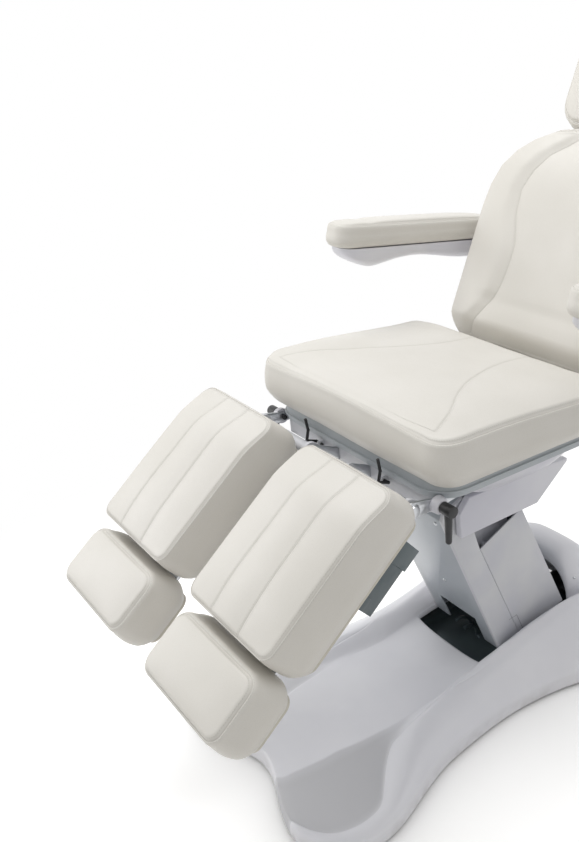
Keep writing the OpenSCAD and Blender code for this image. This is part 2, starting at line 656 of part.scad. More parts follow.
// Head bracket: two plates between the arm's eyes, from the arm and link pivots up to the tilt hinge
head_boss_r = 28;
tie_ahead = 34;
tie_rise = 64;
head_tie_y = tilt_y - tie_ahead;
head_tie_z = top_z + tie_rise;
head_tie_r = 8;
cover_rise = 22;
seat_pad_y = 28;
seat_pad_l = 30;
seat_pad_t = 8;
module head_bracket() {
    color(arm_grey) {
        both_sides() difference() {
            across(pedestal_x, pedestal_x + plate_t) union() {
                hull() {
                    spot(top_y, top_z, head_boss_r);
                    spot(top_y + link_dy, top_z + link_dz, head_boss_r * 3 / 4);
                    spot(tilt_motor_y, tilt_motor_z, head_boss_r / 2);
                }
                hull() {
                    spot(top_y + link_dy, top_z + link_dz, head_boss_r * 3 / 4);
                    spot(tilt_motor_y, tilt_motor_z, head_boss_r / 2);
                    spot(tilt_y, tilt_z, head_boss_r * 3 / 4);
                    spot(head_tie_y, head_tie_z, head_boss_r * 3 / 4);
                }
            }
            pin(top_y, top_z, arm_shaft_r + running_fit, pedestal_x - cut, pedestal_x + plate_t + cut);
            pin(tilt_y, tilt_z, tilt_shaft_r + running_fit, pedestal_x - cut, pedestal_x + plate_t + cut);
        }
        pin(head_tie_y, head_tie_z, head_tie_r, -pedestal_x, pedestal_x);
        both_sides() block([pedestal_x, top_y + seat_pad_y, top_z + cover_rise - shell - seat_pad_t],
            [arm_plate_x - shaft_end, top_y + seat_pad_y + seat_pad_l, top_z + cover_rise - shell]);
    }
    color(steel) pin(top_y + link_dy, top_z + link_dz, link_shaft_r, -pedestal_x, pedestal_x);
    color(steel) pin(tilt_motor_y, tilt_motor_z, motor_pin_r, -pedestal_x, pedestal_x);
}
module head_pivot_shaft() {
    color(steel) pin(top_y, top_z, arm_shaft_r, -arm_plate_x - plate_t - shaft_end,
        arm_plate_x + plate_t + shaft_end);
}

// Head cover: a saddle whose cheeks hang outside the arm casing, cut away under and behind the arm
cheek_x = 135;
cheek_in = lift_w / 2 + arm_clear;
cover_drop = 31;
cheek_front = 88;
cheek_step = 134;
cheek_rear = 225;
cheek_lift = 42;
cheek_lip = 8;
cheek_top = 56;
hump_half = 24;
hump_rise = 16;
hump_front = 66;
hump_top = 28;
nose_out = 4;
module cheek_outline() {
    polygon([
        [top_y - cheek_front, top_z - cover_drop], [top_y + cheek_step, top_z - cover_drop],
        [top_y + cheek_rear, top_z + cheek_lift], [top_y + cheek_rear, top_z + cheek_lift + cheek_lip],
        [top_y + hump_half, top_z + cheek_top], [top_y - hump_front, top_z + cheek_top],
        [top_y - cheek_front - nose_out, top_z + cover_rise + nose_out]
    ]);
}
module saddle_outline() {
    polygon([
        [top_y - cheek_front, top_z - cover_drop], [top_y + cheek_step, top_z - cover_drop],
        [top_y + cheek_step, top_z + cover_rise],
        [top_y + hump_half, top_z + cover_rise], [top_y - hump_half, top_z + cover_rise + hump_rise],
        [top_y - hump_front, top_z + cover_rise + hump_top],
        [top_y - cheek_front - nose_out, top_z + cover_rise + nose_out]
    ]);
}
cover_front = 40;
cover_back = 62;
module head_cover() {
    color(shell_grey) both_sides() across(cheek_in, cheek_x) cheek_outline();
    color(shell_grey) difference() {
        across(-cheek_in - cut, cheek_in + cut) saddle_outline();
        across(-cheek_in, cheek_in) translate([0, -shell]) saddle_outline();
        block([-cheek_in, top_y - lift_w, top_z - lift_w],
            [cheek_in, top_y + lift_w, top_z + cover_rise - shell]);
        block([-cheek_in, top_y - lift_w, top_z], [cheek_in, top_y - cover_front, top_z + lift_w]);
        block([-cheek_in, top_y + cover_back, top_z], [cheek_in, top_y + lift_w, top_z + lift_w]);
        block([-pedestal_x - plate_t - cut, top_y - cover_front - cut, top_z],
            [pedestal_x + plate_t + cut, top_y + cover_back + cut, top_z + lift_w]);
    }
}

// Seat frame: two rails, cross members, the tilt lugs and the ears of the back hinge
seat_rail_x = 150;
seat_rail_w = 25;
seat_rail_h = 30;
tray_depth = 35;
seat_rail_top = seat_z - tray_depth;
beam_half = 232;
beam_d = 26;
beam_h = 32;
beam_inset = 22;
beam_y = -(seat_front - beam_inset);
seat_rail_front = beam_y + beam_d;
seat_rail_rear = back_y - 2;
tilt_lug_x = pedestal_x + plate_t + 8;
tilt_lug_t = 10;
cross_t = 12;
rod_lug_x = 7.5;
module seat_frame() {
    color(dark_steel) {
        both_sides() {
            block([seat_rail_x, seat_rail_front, seat_rail_top - seat_rail_h],
                [seat_rail_x + seat_rail_w, seat_rail_rear, seat_rail_top]);
            difference() {
                across(seat_rail_x, seat_rail_x + plate_t) hull() {
                    spot(back_y, back_z, back_hub_r);
                    translate([tray_rear + 2 * flange, seat_rail_top - seat_rail_h])
                        square([seat_rail_rear - tray_rear - 2 * flange, seat_rail_h]);
                }
                pin(back_y, back_z, back_shaft_r, seat_rail_x - cut, seat_rail_x + plate_t + cut);
            }
            difference() {
                across(tilt_lug_x, tilt_lug_x + tilt_lug_t) hull() {
                    spot(tilt_y, tilt_z, 2 * tilt_shaft_r);
                    translate([tilt_y - 3 * tilt_shaft_r, seat_rail_top - cross_t])
                        square([6 * tilt_shaft_r, cross_t]);
                }
                pin(tilt_y, tilt_z, tilt_shaft_r, tilt_lug_x - cut, tilt_lug_x + tilt_lug_t + cut);
            }
            difference() {
                across(rod_lug_x, rod_lug_x + plate_t) hull() {
                    spot(tilt_rod_y, tilt_rod_z, 2 * motor_pin_r);
                    translate([tilt_rod_y - 2 * motor_pin_r, seat_rail_top - cross_t])
                        square([4 * motor_pin_r, cross_t]);
                }
                pin(tilt_rod_y, tilt_rod_z, motor_pin_r, rod_lug_x - cut, rod_lug_x + plate_t + cut);
            }
        }
        for (y = [tilt_y - 3 * tilt_shaft_r, tilt_rod_y - 2 * motor_pin_r])
            block([-seat_rail_x, y, seat_rail_top - cross_t],
                [seat_rail_x, y + 4 * motor_pin_r, seat_rail_top]);
        difference() {
            across(back_motor_x - motor_lug_x - plate_t, back_motor_x - motor_lug_x) hull() {
                spot(back_motor_y, back_motor_z, 2 * motor_pin_r);
                translate([back_motor_y - 2 * motor_pin_r, seat_rail_top - cross_t])
                    square([4 * motor_pin_r, cross_t]);
            }
        }
        block([back_motor_x - motor_lug_x - plate_t, back_motor_y - 2 * motor_pin_r, seat_rail_top - cross_t],
            [seat_rail_x, back_motor_y + 2 * motor_pin_r, seat_rail_top]);
    }
    color(steel) {
        pin(tilt_y, tilt_z, tilt_shaft_r, -tilt_lug_x - tilt_lug_t, tilt_lug_x + tilt_lug_t);
        pin(back_y, back_z, back_shaft_r, -seat_rail_x - plate_t, seat_rail_x + plate_t);
        pin(tilt_rod_y, tilt_rod_z, motor_pin_r, -rod_lug_x - plate_t, rod_lug_x + plate_t);
        pin(back_motor_y, back_motor_z, motor_pin_r, back_motor_x - motor_lug_x - plate_t,
            back_motor_x + motor_lug_x);
    }
}

// Seat tray: a moulded pan with a rim and ribs that the cushion sits on
tray_inset = 30;
tray_w = seat_w - 2 * tray_inset;
tray_front_inset = 15;
tray_rear_inset = 12;
tray_front = -(seat_front - tray_front_inset);
tray_rear = seat_l - seat_front - tray_rear_inset;
tray_h = seat_z - seat_rail_top - soft_gap;
tray_r = 60;
rib_count = 3;
flange = 5;
module seat_tray() {
    tray_l = tray_rear - tray_front;
    color(tray_grey) translate([0, (tray_front + tray_rear) / 2, seat_rail_top]) {
        difference() {
            union() {
                linear_extrude(tray_h) rounded_plan(tray_w, tray_l, tray_r);
                translate([0, 0, tray_h / 3]) linear_extrude(shell)
                    rounded_plan(tray_w + 2 * flange, tray_l + 2 * flange, tray_r + flange);
            }
            translate([0, 0, shell]) linear_extrude(tray_h)
                rounded_plan(tray_w - 2 * shell, tray_l - 2 * shell, tray_r - shell);
        }
        for (k = [1:rib_count]) translate([0, tray_l * (k / (rib_count + 1) - 1 / 2), 0])
            block([-tray_w / 2 + shell, -shell / 2, 0], [tray_w / 2 - shell, shell / 2, tray_h]);
    }
}

// Belly pan under the seat: a shallow tub, open above, cut out for the head bracket and the back rod
pan_w = 420;
pan_front = -112;
pan_rear = seat_l - seat_front - 2;
pan_depth = 94;
pan_r = 70;
hole_ahead = 70;
hole_behind = 48;
rod_hole_behind = 40;
pan_shares = [0, 0.3, 0.6, 0.8, 0.92, 1];
pan_rows_shares = [0, 0.03, 0.08, 0.15, 0.25, 0.4, 0.55, 0.7, 0.82, 0.9, 0.96, 1];
pan_form_shares = [
    [0.00, 0.84, 0.02],
    [0.08, 0.93, 0.38],
    [0.18, 0.98, 0.80],
    [0.30, 1.00, 0.96],
    [0.50, 1.00, 1.00],
    [0.68, 1.00, 0.98],
    [0.84, 0.98, 0.66],
    [0.94, 0.94, 0.36],
    [1.00, 0.88, 0.10]
];
function pan_point(v, s, wall) =
    let (w = curve(pan_form_shares, v, 1) * pan_w / 2 - wall)
    let (d = max(curve(pan_form_shares, v, 2) * pan_depth - wall, 0) + shell)
    [s * w, pan_front + wall + v * (pan_rear - pan_front - 2 * wall), d * pow(1 - pow(abs(s), 6), 1 / 2)];
module pan_form(wall, rise) {
    g = [for (v = pan_rows_shares) [for (s = mirrored(pan_shares)) pan_point(v, s, wall)]];
    draped(g, [[for (p = rim(g)) [p.x, p.y, -rise]]], [0, (pan_front + pan_rear) / 2, -rise]);
}
pan_hole_w = 2 * (tilt_lug_x + tilt_lug_t + 8);
rod_hole_w = 60;
module belly_pan() {
    color(shell_grey) resize([pan_w, 0, 0]) difference() {
        translate([0, 0, seat_rail_top - soft_gap]) mirror([0, 0, 1]) pan_form(0, soft_gap / 2);
        translate([0, 0, seat_rail_top - soft_gap]) mirror([0, 0, 1]) pan_form(shell, cut + soft_gap);
        block([-pan_hole_w / 2, top_y - hole_ahead, seat_rail_top - 2 * pan_depth],
            [pan_hole_w / 2, tilt_y + hole_behind, seat_rail_top - seat_rail_h - cross_t]);
        both_sides() block([seat_rail_x - cut, seat_rail_front, seat_rail_top - seat_rail_h - cut],
            [seat_rail_x + seat_rail_w + cut, pan_rear + cut, seat_rail_top + cut]);
        block([back_motor_x - rod_hole_w / 2, tilt_y + rod_hole_behind, back_crank_z - rod_hole_w / 2],
            [back_motor_x + rod_hole_w / 2, pan_rear + cut, seat_rail_top + cut]);
    }
}

// Front beam under the tray, and the side plates that hold the leg hinges
rod_x = 120;
rod_r = 3;
rod_elbow_r = 3.4;
rod_ahead = 7;
rod_drop = 14;
rod_y = beam_y - rod_ahead;
rod_z = seat_rail_top - rod_drop;
rod_lug = 6;
module front_beam() {
    color(arm_grey) both_sides() difference() {
        block([rod_x - 3 * rod_lug, rod_y - rod_lug, rod_z - rod_lug],
            [rod_x - 2 * rod_lug, beam_y + cut, rod_z + rod_lug]);
        pin(rod_y, rod_z, rod_r + running_fit, rod_x - 4 * rod_lug, rod_x - rod_lug);
    }
    color(arm_grey) difference() {
        block([-beam_half, beam_y, seat_rail_top - beam_h], [beam_half, beam_y + beam_d, seat_rail_top]);
        block([-beam_half - cut, beam_y + shell, seat_rail_top - beam_h + shell],
            [beam_half + cut, beam_y + beam_d - shell, seat_rail_top - shell]);
    }
}
hinge_out = 249;
hinge_in = 49;
hinge_boss_r = 16;
clamp_inset = 18;
clamp_drop = 38;
clamp_out = 24;
clamp_y = -(seat_front - clamp_inset);
clamp_z = seat_z - clamp_drop;
clamp_r = 5;
clamp_x = hinge_out + clamp_out;
module leg_side_plates() {
    color(steel) both_sides() {
        difference() {
            union() {
                across(hinge_out, hinge_out + thin_plate_t) hull() {
                    spot(leg_y, leg_z, hinge_boss_r);
                    spot(clamp_y, clamp_z, 2 * clamp_r);
                }
                across(hinge_out, hinge_out + thin_plate_t) hull() {
                    translate([clamp_y - 2 * clamp_r, clamp_z - 2 * clamp_r])
                        square([4 * clamp_r, 2 * clamp_r]);
                    translate([seat_rail_front, seat_rail_top - thin_plate_t])
                        square([beam_d, thin_plate_t]);
                }
                block([seat_rail_x + seat_rail_w, seat_rail_front, seat_rail_top - thin_plate_t],
                    [hinge_out + thin_plate_t, seat_rail_front + 2 * beam_d, seat_rail_top]);
            }
            pin(leg_y, leg_z, leg_shaft_r, hinge_out - cut, hinge_out + thin_plate_t + cut);
            pin(clamp_y, clamp_z, clamp_r + running_fit, hinge_out - cut, hinge_out + thin_plate_t + cut);
        }
        difference() {
            across(hinge_in, hinge_in + thin_plate_t) hull() {
                spot(leg_y, leg_z, hinge_boss_r);
                translate([beam_y - shell, seat_rail_top - beam_h]) square([shell, beam_h - thin_plate_t]);
            }
            pin(leg_y, leg_z, leg_shaft_r, hinge_in - cut, hinge_in + thin_plate_t + cut);
        }
    }
}
// Hinge shafts with a hexagonal head at the outer end and a collar at the inner end
hex_r = 12;
hex_t = 7;
module leg_hinge_shafts() {
    color(steel) both_sides() {
        pin(leg_y, leg_z, leg_shaft_r, hinge_in - shell, hinge_out + thin_plate_t);
        translate([hinge_out + thin_plate_t, leg_y, leg_z]) rotate([0, 90, 0])
            cylinder(h = hex_t, r = hex_r, $fn = 6);
        pin(leg_y, leg_z, leg_shaft_r + shell, hinge_in - 2 * shell, hinge_in);
    }
}

// Tilt motor between the head bracket and the seat frame
tilt_span = norm([tilt_rod_y - tilt_motor_y, tilt_rod_z - tilt_motor_z]);
small_rod_r = 7;
small_body_r = 22;
small_body_from = 20;
small_body_to = 88;
small_tube_r = 13;
small_tube_to = 132;
small_bore_from = 56;
small_rod_from = 84;
small_clear = 1.5;
module at_tilt_motor() { towards(tilt_motor_y, tilt_motor_z, tilt_rod_y, tilt_rod_z) children(); }
module tilt_motor() {
    color(black) at_tilt_motor() motor(3 * small_rod_r, small_body_r, small_body_from, small_body_to,
        small_tube_r, small_tube_to, small_rod_r, small_bore_from);
}
module tilt_rod() {
    color(steel) at_tilt_motor() motor_rod(small_rod_r, small_rod_from, tilt_span, 2 * motor_pin_r,
        small_clear);
}

// Back motor between the seat frame and the crank of the back frame
back_span = norm([back_crank_y - back_motor_y, back_crank_z - back_motor_z]);
back_body_to = 150;
back_tube_to = 258;
back_bore_from = 100;
back_rod_from = 176;
back_eye_w = 17;
module at_back_motor() {
    translate([back_motor_x, 0, 0]) towards(back_motor_y, back_motor_z, back_crank_y, back_crank_z) children();
}
module back_motor() {
    color(black) at_back_motor() motor(2 * motor_lug_x - 2 * soft_gap, small_body_r, small_body_from,
        back_body_to, small_tube_r, back_tube_to, small_rod_r, back_bore_from);
}
module back_rod() {
    color(steel) at_back_motor() motor_rod(small_rod_r, back_rod_from, back_span, back_eye_w, open_pin_clear);
}

// Seat cushion
seat_r_front = 72;
seat_r_rear = 40;
seat_fall = 44;
seat_fall_l = 110;
seat_column_shares = [0, 0.2, 0.4, 0.47, 0.5, 0.53, 0.7, 0.85, 0.94, 1];
seat_groove_shares = [0.5];
soft_bulge = 6;
soft_pull = 10;
groove_d = 4;
groove_share = 0.03;
module seat_cushion() {
    color(cream) translate([0, -seat_front, seat_z])
        pad(seat_w, seat_l, seat_t, seat_r_front, seat_r_rear, seat_crown, soft_bulge, soft_pull,
            seat_column_shares, 8, seat_groove_shares, groove_d, groove_share,
            [0, 1], [seat_fall, seat_fall_l]);
}

// Leg rest parts, in the leg's own frame: it lies along -Y from the hinge, and +Z is its cushion side
leg_mid = leg_gap + leg_w / 2;
leg_start = 3;
leg_board_z = 20;
swing_at = 55;
swing_pin_r = 9;
tongue_z = -8;
tongue_in = 125;
tongue_out = 237;
tongue_tail = 30;
yoke_tube_r = 13;
yoke_in = hinge_in + thin_plate_t + 3;
yoke_out = hinge_out - 3;
ear_t = 8;
ear_r = 19;
module yoke() {
    color(arm_grey) in_leg() difference() {
        union() {
            pin(0, 0, yoke_tube_r, yoke_in, yoke_out);
            for (x = [yoke_in, yoke_out - ear_t]) pin(0, 0, ear_r, x, x + ear_t);
            block([tongue_in, -swing_at - tongue_tail, tongue_z], [tongue_out, 0, tongue_z + thin_plate_t]);
        }
        pin(0, 0, leg_shaft_r + running_fit, yoke_in - cut, yoke_out + cut);
    }
    color(steel) in_leg() translate([leg_mid, -swing_at, tongue_z]) {
        cylinder(h = thin_plate_t + 2 * soft_gap + 2 * thin_plate_t, r = swing_pin_r);
        translate([0, 0, 2 * thin_plate_t + 2 * soft_gap]) cylinder(h = thin_plate_t - soft_gap, r = swing_pin_r * 3 / 2);
    }
}
rail_in = 72;
rail_out = 268;
leg_rail_w = 24;
leg_rail_from = 48;
leg_rail_step = 90;
leg_rail_to = 182;
leg_rail_low = -30;
leg_rail_thin = -26;
swing_z = tongue_z + thin_plate_t + soft_gap;
slide_w = 100;
slide_t = 6;
channel_t = 6;
channel_from = 96;
channel_to = 300;
module leg_frame() {
    color(dark_steel) in_leg() {
        for (x = [rail_in, rail_out]) {
            block([x, -leg_rail_step, leg_rail_low], [x + leg_rail_w, -leg_rail_from, leg_board_z]);
            block([x + shell / 2, -leg_rail_to, leg_rail_thin],
                [x + leg_rail_w - shell / 2, -leg_rail_step, leg_board_z]);
        }
        difference() {
            union() {
                block([rail_in, -leg_rail_step, swing_z], [rail_out + leg_rail_w, -leg_rail_from, swing_z + thin_plate_t]);
                translate([leg_mid, -swing_at, swing_z]) cylinder(h = thin_plate_t, r = 3 * swing_pin_r);
            }
            translate([leg_mid, -swing_at, swing_z - cut])
                cylinder(h = thin_plate_t + 2 * cut, r = swing_pin_r + running_fit);
        }
        block([rail_in, -leg_rail_to, swing_z],
            [rail_out + leg_rail_w, -leg_rail_to + 4 * thin_plate_t, leg_board_z - slide_t - 2 * soft_gap]);
        difference() {
            block([leg_mid - slide_w / 2 - channel_t, -channel_to, leg_board_z - slide_t - 2 * soft_gap - channel_t],
                [leg_mid + slide_w / 2 + channel_t, -channel_from, leg_board_z]);
            block([leg_mid - slide_w / 2 - soft_gap, -channel_to - cut, leg_board_z - slide_t - 2 * soft_gap],
                [leg_mid + slide_w / 2 + soft_gap, -channel_from + cut, leg_board_z + cut]);
        }
    }
}
board_inset = 7;
module leg_board() {
    color(black) in_leg() translate([leg_mid, -leg_start - leg_l / 2, leg_board_z])
        linear_extrude(board_t) rounded_plan(leg_w - 2 * board_inset, leg_l - 2 * board_inset, 3 * board_inset);
}
leg_column_shares = [0, 0.2, 0.29, 0.33, 0.37, 0.6, 0.8, 0.92, 1];
leg_groove_shares = [0.33];
leg_crown = 12;
leg_r = 34;
leg_fall = 16;
leg_fall_l = 60;
module leg_cushion() {
    color(cream) in_leg() translate([leg_mid, -leg_start - leg_l, leg_board_z + board_t])
        pad(leg_w, leg_l, leg_t, leg_r, leg_r, leg_crown, soft_bulge, soft_pull, leg_column_shares, 5,
            leg_groove_shares, groove_d, 2 * groove_share, [0, 1], [leg_fall, leg_fall_l]);
}
foot_at = leg_start + leg_l + foot_gap;
slide_from = 120;
module foot_slide() {
    color(steel) in_leg() {
        block([leg_mid - slide_w / 2, -foot_at - foot_l + 2 * board_inset, leg_board_z - slide_t - soft_gap],
            [leg_mid + slide_w / 2, -slide_from, leg_board_z - soft_gap]);
        block([leg_mid - slide_w / 2, -foot_at - foot_l + 2 * board_inset, leg_board_z - slide_t - soft_gap],
            [leg_mid + slide_w / 2, -foot_at - 2 * board_inset, leg_board_z]);
    }
}
module foot_board() {
    color(black) in_leg() translate([leg_mid, -foot_at - foot_l / 2, leg_board_z])
        linear_extrude(board_t) rounded_plan(leg_w - 2 * board_inset, foot_l - 2 * board_inset, 3 * board_inset);
}
foot_column_shares = [0, 0.35, 0.7, 0.88, 1];
module foot_cushion() {
    color(cream) in_leg() translate([leg_mid, -foot_at - foot_l, leg_board_z + board_t])
        pad(leg_w, foot_l, foot_t, leg_r, leg_r, leg_crown, soft_bulge, soft_pull, foot_column_shares, 3);
}
module left_yoke() { yoke(); }
module right_yoke() { on_right() yoke(); }
module left_leg_frame() { leg_frame(); }
module right_leg_frame() { on_right() leg_frame(); }
module left_leg_board() { leg_board(); }
module right_leg_board() { on_right() leg_board(); }
module left_leg_cushion() { leg_cushion(); }
module right_leg_cushion() { on_right() leg_cushion(); }
module left_foot_slide() { foot_slide(); }
module right_foot_slide() { on_right() foot_slide(); }
module left_foot_board() { foot_board(); }
module right_foot_board() { on_right() foot_board(); }
module left_foot_cushion() { foot_cushion(); }
module right_foot_cushion() { on_right() foot_cushion(); }

// Clamping lever: hub, threaded spindle and a tapered handle that hangs down
hub_r = 11;
hub_l = 26;
handle_l = 62;
handle_r = 6;
module clamp_lever() {
    color(black) {
        pin(clamp_y, clamp_z, hub_r, clamp_x, clamp_x + hub_l);
        translate([clamp_x + hub_l / 2, clamp_y, clamp_z - handle_l])
            cylinder(h = handle_l, r1 = handle_r, r2 = handle_r * 4 / 3);
        translate([clamp_x + hub_l / 2, clamp_y, clamp_z - handle_l]) sphere(handle_r);
    }
    color(steel) pin(clamp_y, clamp_z, clamp_r, hinge_out - thin_plate_t, clamp_x);
}
module left_clamp_lever() { clamp_lever(); }
module right_clamp_lever() { on_right() clamp_lever(); }

// Release rod: a bent rod that turns in the front beam and stands up in front of the tray
module link_of_rod(a, b) {
    d = b - a;
    translate(a) rotate([0, acos(d.z / norm(d)), atan2(d.y, d.x)]) cylinder(h = norm(d), r = rod_r);
}
rod_reach = 22;
rod_step = 8;
rod_waist = 30;
rod_kink = 5;
rod_lean = 1;
rod_tip = 6;
rod_path = [
    [rod_x - rod_reach, rod_y, rod_z], [rod_x, rod_y, rod_z], [rod_x, rod_y - rod_reach, rod_z + rod_step],
    [rod_x, rod_y - rod_reach + rod_kink, rod_z + rod_waist],
    [rod_x, rod_y - rod_reach + rod_lean, seat_z + rod_tip]
];
module release_rod() {
    color(black) {
        for (k = [1:len(rod_path) - 1]) link_of_rod(rod_path[k - 1], rod_path[k]);
        for (k = [1:len(rod_path) - 2]) translate(rod_path[k]) sphere(rod_elbow_r);
    }
}
module left_release_rod() { release_rod(); }
module right_release_rod() { on_right() release_rod(); }

// Back rest, in its own frame: it rises along +Z from the hinge, and -Y is its cushion side
back_face = 25;
back_start = 38;
bar_x = 118;
bar_w = 25;
bar_from = back_face + 3;
bar_d = 18;
bar_to = bar_from + bar_d;
bar_top = 470;
post_x = 62;
post_r = 8;
post_y = bar_to - post_r + 3;
socket_r = 12;
brace_h = 30;
brace_rise = 10;
socket_from = 380;
socket_to = 500;
armrest_axis = 274;
armrest_axis_y = (bar_from + bar_to) / 2;
armrest_shaft_r = 9;
crank_x = back_motor_x + back_eye_w / 2 + soft_gap;
module back_frame() {
    color(dark_steel) in_back() {
        difference() {
            union() {
                pin(0, 0, back_hub_r, -bar_x - bar_w, bar_x + bar_w);
                both_sides() across(bar_x, bar_x + bar_w) polygon([
                    [-back_hub_r + 2, -2], [back_hub_r / 2, -back_hub_r], [bar_to, 0], [bar_to, bar_top],
                    [bar_from, bar_top], [bar_from, back_hub_r + 8], [back_hub_r / 2, back_hub_r],
                    [-back_hub_r / 2, back_hub_r - 4]
                ]);
                block([-bar_x, bar_from, armrest_axis - 2 * brace_h], [bar_x, bar_to, armrest_axis - brace_h]);
                block([-bar_x, bar_from, socket_from + brace_rise],
                    [bar_x, bar_to, socket_from + brace_rise + brace_h]);
                both_sides() translate([post_x, post_y, socket_from]) cylinder(h = socket_to - socket_from, r = socket_r);
            }
            pin(0, 0, back_shaft_r + running_fit, -bar_x - bar_w - cut, bar_x + bar_w + cut);
            pin(armrest_axis_y, armrest_axis, armrest_shaft_r, -bar_x - bar_w - cut, bar_x + bar_w + cut);
            both_sides() translate([post_x, post_y, socket_from - cut])
                cylinder(h = socket_to - socket_from + 2 * cut, r = post_r + running_fit);
        }
    }
    color(dark_steel) difference() {
        across(crank_x, crank_x + plate_t) hull() {
            spot(back_y, back_z, back_hub_r + 2);
            spot(back_crank_y, back_crank_z, 2 * motor_pin_r);
        }
        pin(back_y, back_z, back_shaft_r + running_fit, crank_x - cut, crank_x + plate_t + cut);
    }
    color(steel) pin(back_crank_y, back_crank_z, motor_pin_r, back_motor_x - back_eye_w / 2 - shell,
        crank_x + plate_t);
}

// Back shell: a moulded tub behind the cushion, open at its foot for the hinge
back_r_top = 200;
back_r_foot = 36;
back_rows = 7;
back_inset = 10;
shell_crown = 12;
shell_draw = 2;
shell_foot = 60;
shell_slack = 2;
shell_shares = [0, 0.5, 0.8, 0.93, 1];
module shell_form(wall) {
    pad(back_w - 2 * back_inset - 2 * wall, back_l - 2 * back_inset - 2 * wall, back_shell_t - shell_crown - wall,
        back_r_foot, back_r_top - back_inset - wall, shell_crown, -shell_draw, 0, shell_shares, back_rows);
}
module back_shell() {
    color(shell_grey) in_back() resize([back_w - 2 * back_inset, 0, 0]) difference() {
        translate([0, back_face + soft_gap, back_start + back_inset]) rotate([90, 0, 180]) mirror([0, 0, 0])
            shell_form(0);
        translate([0, back_face + soft_gap - cut, back_start + back_inset + shell]) rotate([90, 0, 180])
            shell_form(shell);
        both_sides() block([bar_x - shell_slack, 0, 0],
            [bar_x + bar_w + shell_slack, bar_to + shell_slack, back_start + shell_foot]);
        pin(armrest_axis_y, armrest_axis, armrest_shaft_r + soft_gap, -back_w, back_w);
        both_sides() translate([post_x, post_y, back_start]) cylinder(h = back_l, r = post_r + soft_gap);
    }
}
back_column_shares = [0, 0.25, 0.5, 0.58, 0.62, 0.66, 0.8, 0.92, 1];
back_groove_shares = [0.62];
back_groove_share = 0.04;
back_foot_fall = [30, 50];
back_top_fall = [16, 120];
back_crown = 22;
module back_cushion() {
    color(cream) in_back() translate([0, back_face, back_start]) rotate([90, 0, 0])
        pad(back_w, back_l, back_t, back_r_foot, back_r_top, back_crown, soft_bulge, soft_pull,
            back_column_shares, back_rows, back_groove_shares, groove_d, back_groove_share, back_foot_fall, back_top_fall);
}

// Armrests
armrest_in = back_w / 2 + armrest_gap;
armrest_mid = armrest_in + armrest_w / 2;
module armrest_shaft() {
    color(steel) in_back() pin(armrest_axis_y, armrest_axis, armrest_shaft_r, -armrest_mid, armrest_mid);
}
// World place of the armrest shaft
armrest_y = back_y + armrest_axis_y * cos(back_lean) + armrest_axis * sin(back_lean);
armrest_z = back_z - armrest_axis_y * sin(back_lean) + armrest_axis * cos(back_lean);
armrest_drop = 10;
shell_drop = 26;
module in_armrest() {
    translate([0, armrest_y, armrest_z]) rotate([-armrest_fall, 0, 0]) children();
}
arm_end = 14;
module armrest_shell() {
    color(shell_grey) in_armrest() difference() {
        translate([armrest_mid, -armrest_l + arm_end, 0]) armrest_tub();
        pin(0, 0, armrest_shaft_r + running_fit, 0, armrest_mid + cut);
    }
}
tub_wall_share = 0.55;
tub_shares = [0, 0.5, 0.85, 1];
tub_rows_shares = [0, 0.03, 0.1, 0.2, 0.35, 0.5, 0.65, 0.8, 0.92, 1];
tub_form_shares = [
    [0.00, 0.70, 0.30],
    [0.03, 0.86, 0.42],
    [0.10, 0.96, 0.62],
    [0.25, 1.00, 1.00],
    [0.45, 1.00, 0.86],
    [0.70, 1.00, 0.80],
    [0.88, 1.00, 1.05],
    [1.00, 0.86, 0.90]
];
// The tub hangs down from the pad's underside, so its grid is drawn upside down
module armrest_tub() {
    g = [for (v = tub_rows_shares) [for (s = mirrored(tub_shares))
        let (w = curve(tub_form_shares, v, 1) * (armrest_w / 2 - shell), d = curve(tub_form_shares, v, 2) * shell_drop)
        [s * w, v * armrest_l, armrest_drop + d * (tub_wall_share + (1 - tub_wall_share) * pow(1 - pow(abs(s), 4), 1 / 2))]]];
    mirror([0, 0, 1]) translate([0, 0, -armrest_drop])
        draped(g, [[for (p = rim(g)) [p.x, p.y, 0]]], [0, armrest_l / 2, 0]);
}
arm_crown = 8;
arm_bulge = 3;
arm_corner_share = 0.42;
arm_column_shares = [0, 0.4, 0.75, 1];
module armrest_pad() {
    color(cream) in_armrest() translate([armrest_mid, -armrest_l + arm_end, armrest_drop + soft_gap])
        pad(armrest_w, armrest_l, armrest_pad_t - arm_crown, armrest_w * arm_corner_share, armrest_w / 4,
            arm_crown, arm_bulge, arm_bulge,
            arm_column_shares, 6);
}
module left_armrest_shell() { armrest_shell(); }
module right_armrest_shell() { on_right() armrest_shell(); }
module left_armrest_pad() { armrest_pad(); }
module right_armrest_pad() { on_right() armrest_pad(); }

// Headrest on two posts
head_start = back_start + back_l + head_gap;
head_back = post_y - post_r;
head_board_t = 8;
module headrest_posts() {
    color(steel) in_back() both_sides() translate([post_x, post_y, socket_from + 4])
        cylinder(h = head_start + head_l / 2 - socket_from, r = post_r);
}
module headrest_board() {
    color(black) in_back() translate([0, head_back, head_start + head_l / 2]) rotate([90, 0, 0])
        linear_extrude(head_board_t) rounded_plan(head_w - 4 * board_inset, head_l - 4 * board_inset, 4 * board_inset);
}
head_crown = 14;
head_r = 60;
head_bulge = 4;
head_rows = 4;
head_column_shares = [0, 0.3, 0.6, 0.85, 1];
module headrest_cushion() {
    color(cream) in_back() translate([0, head_back - head_board_t, head_start]) rotate([90, 0, 0])
        pad(head_w, head_l, head_t - head_crown, head_r, head_r, head_crown, head_bulge, head_bulge,
            head_column_shares, head_rows);
}

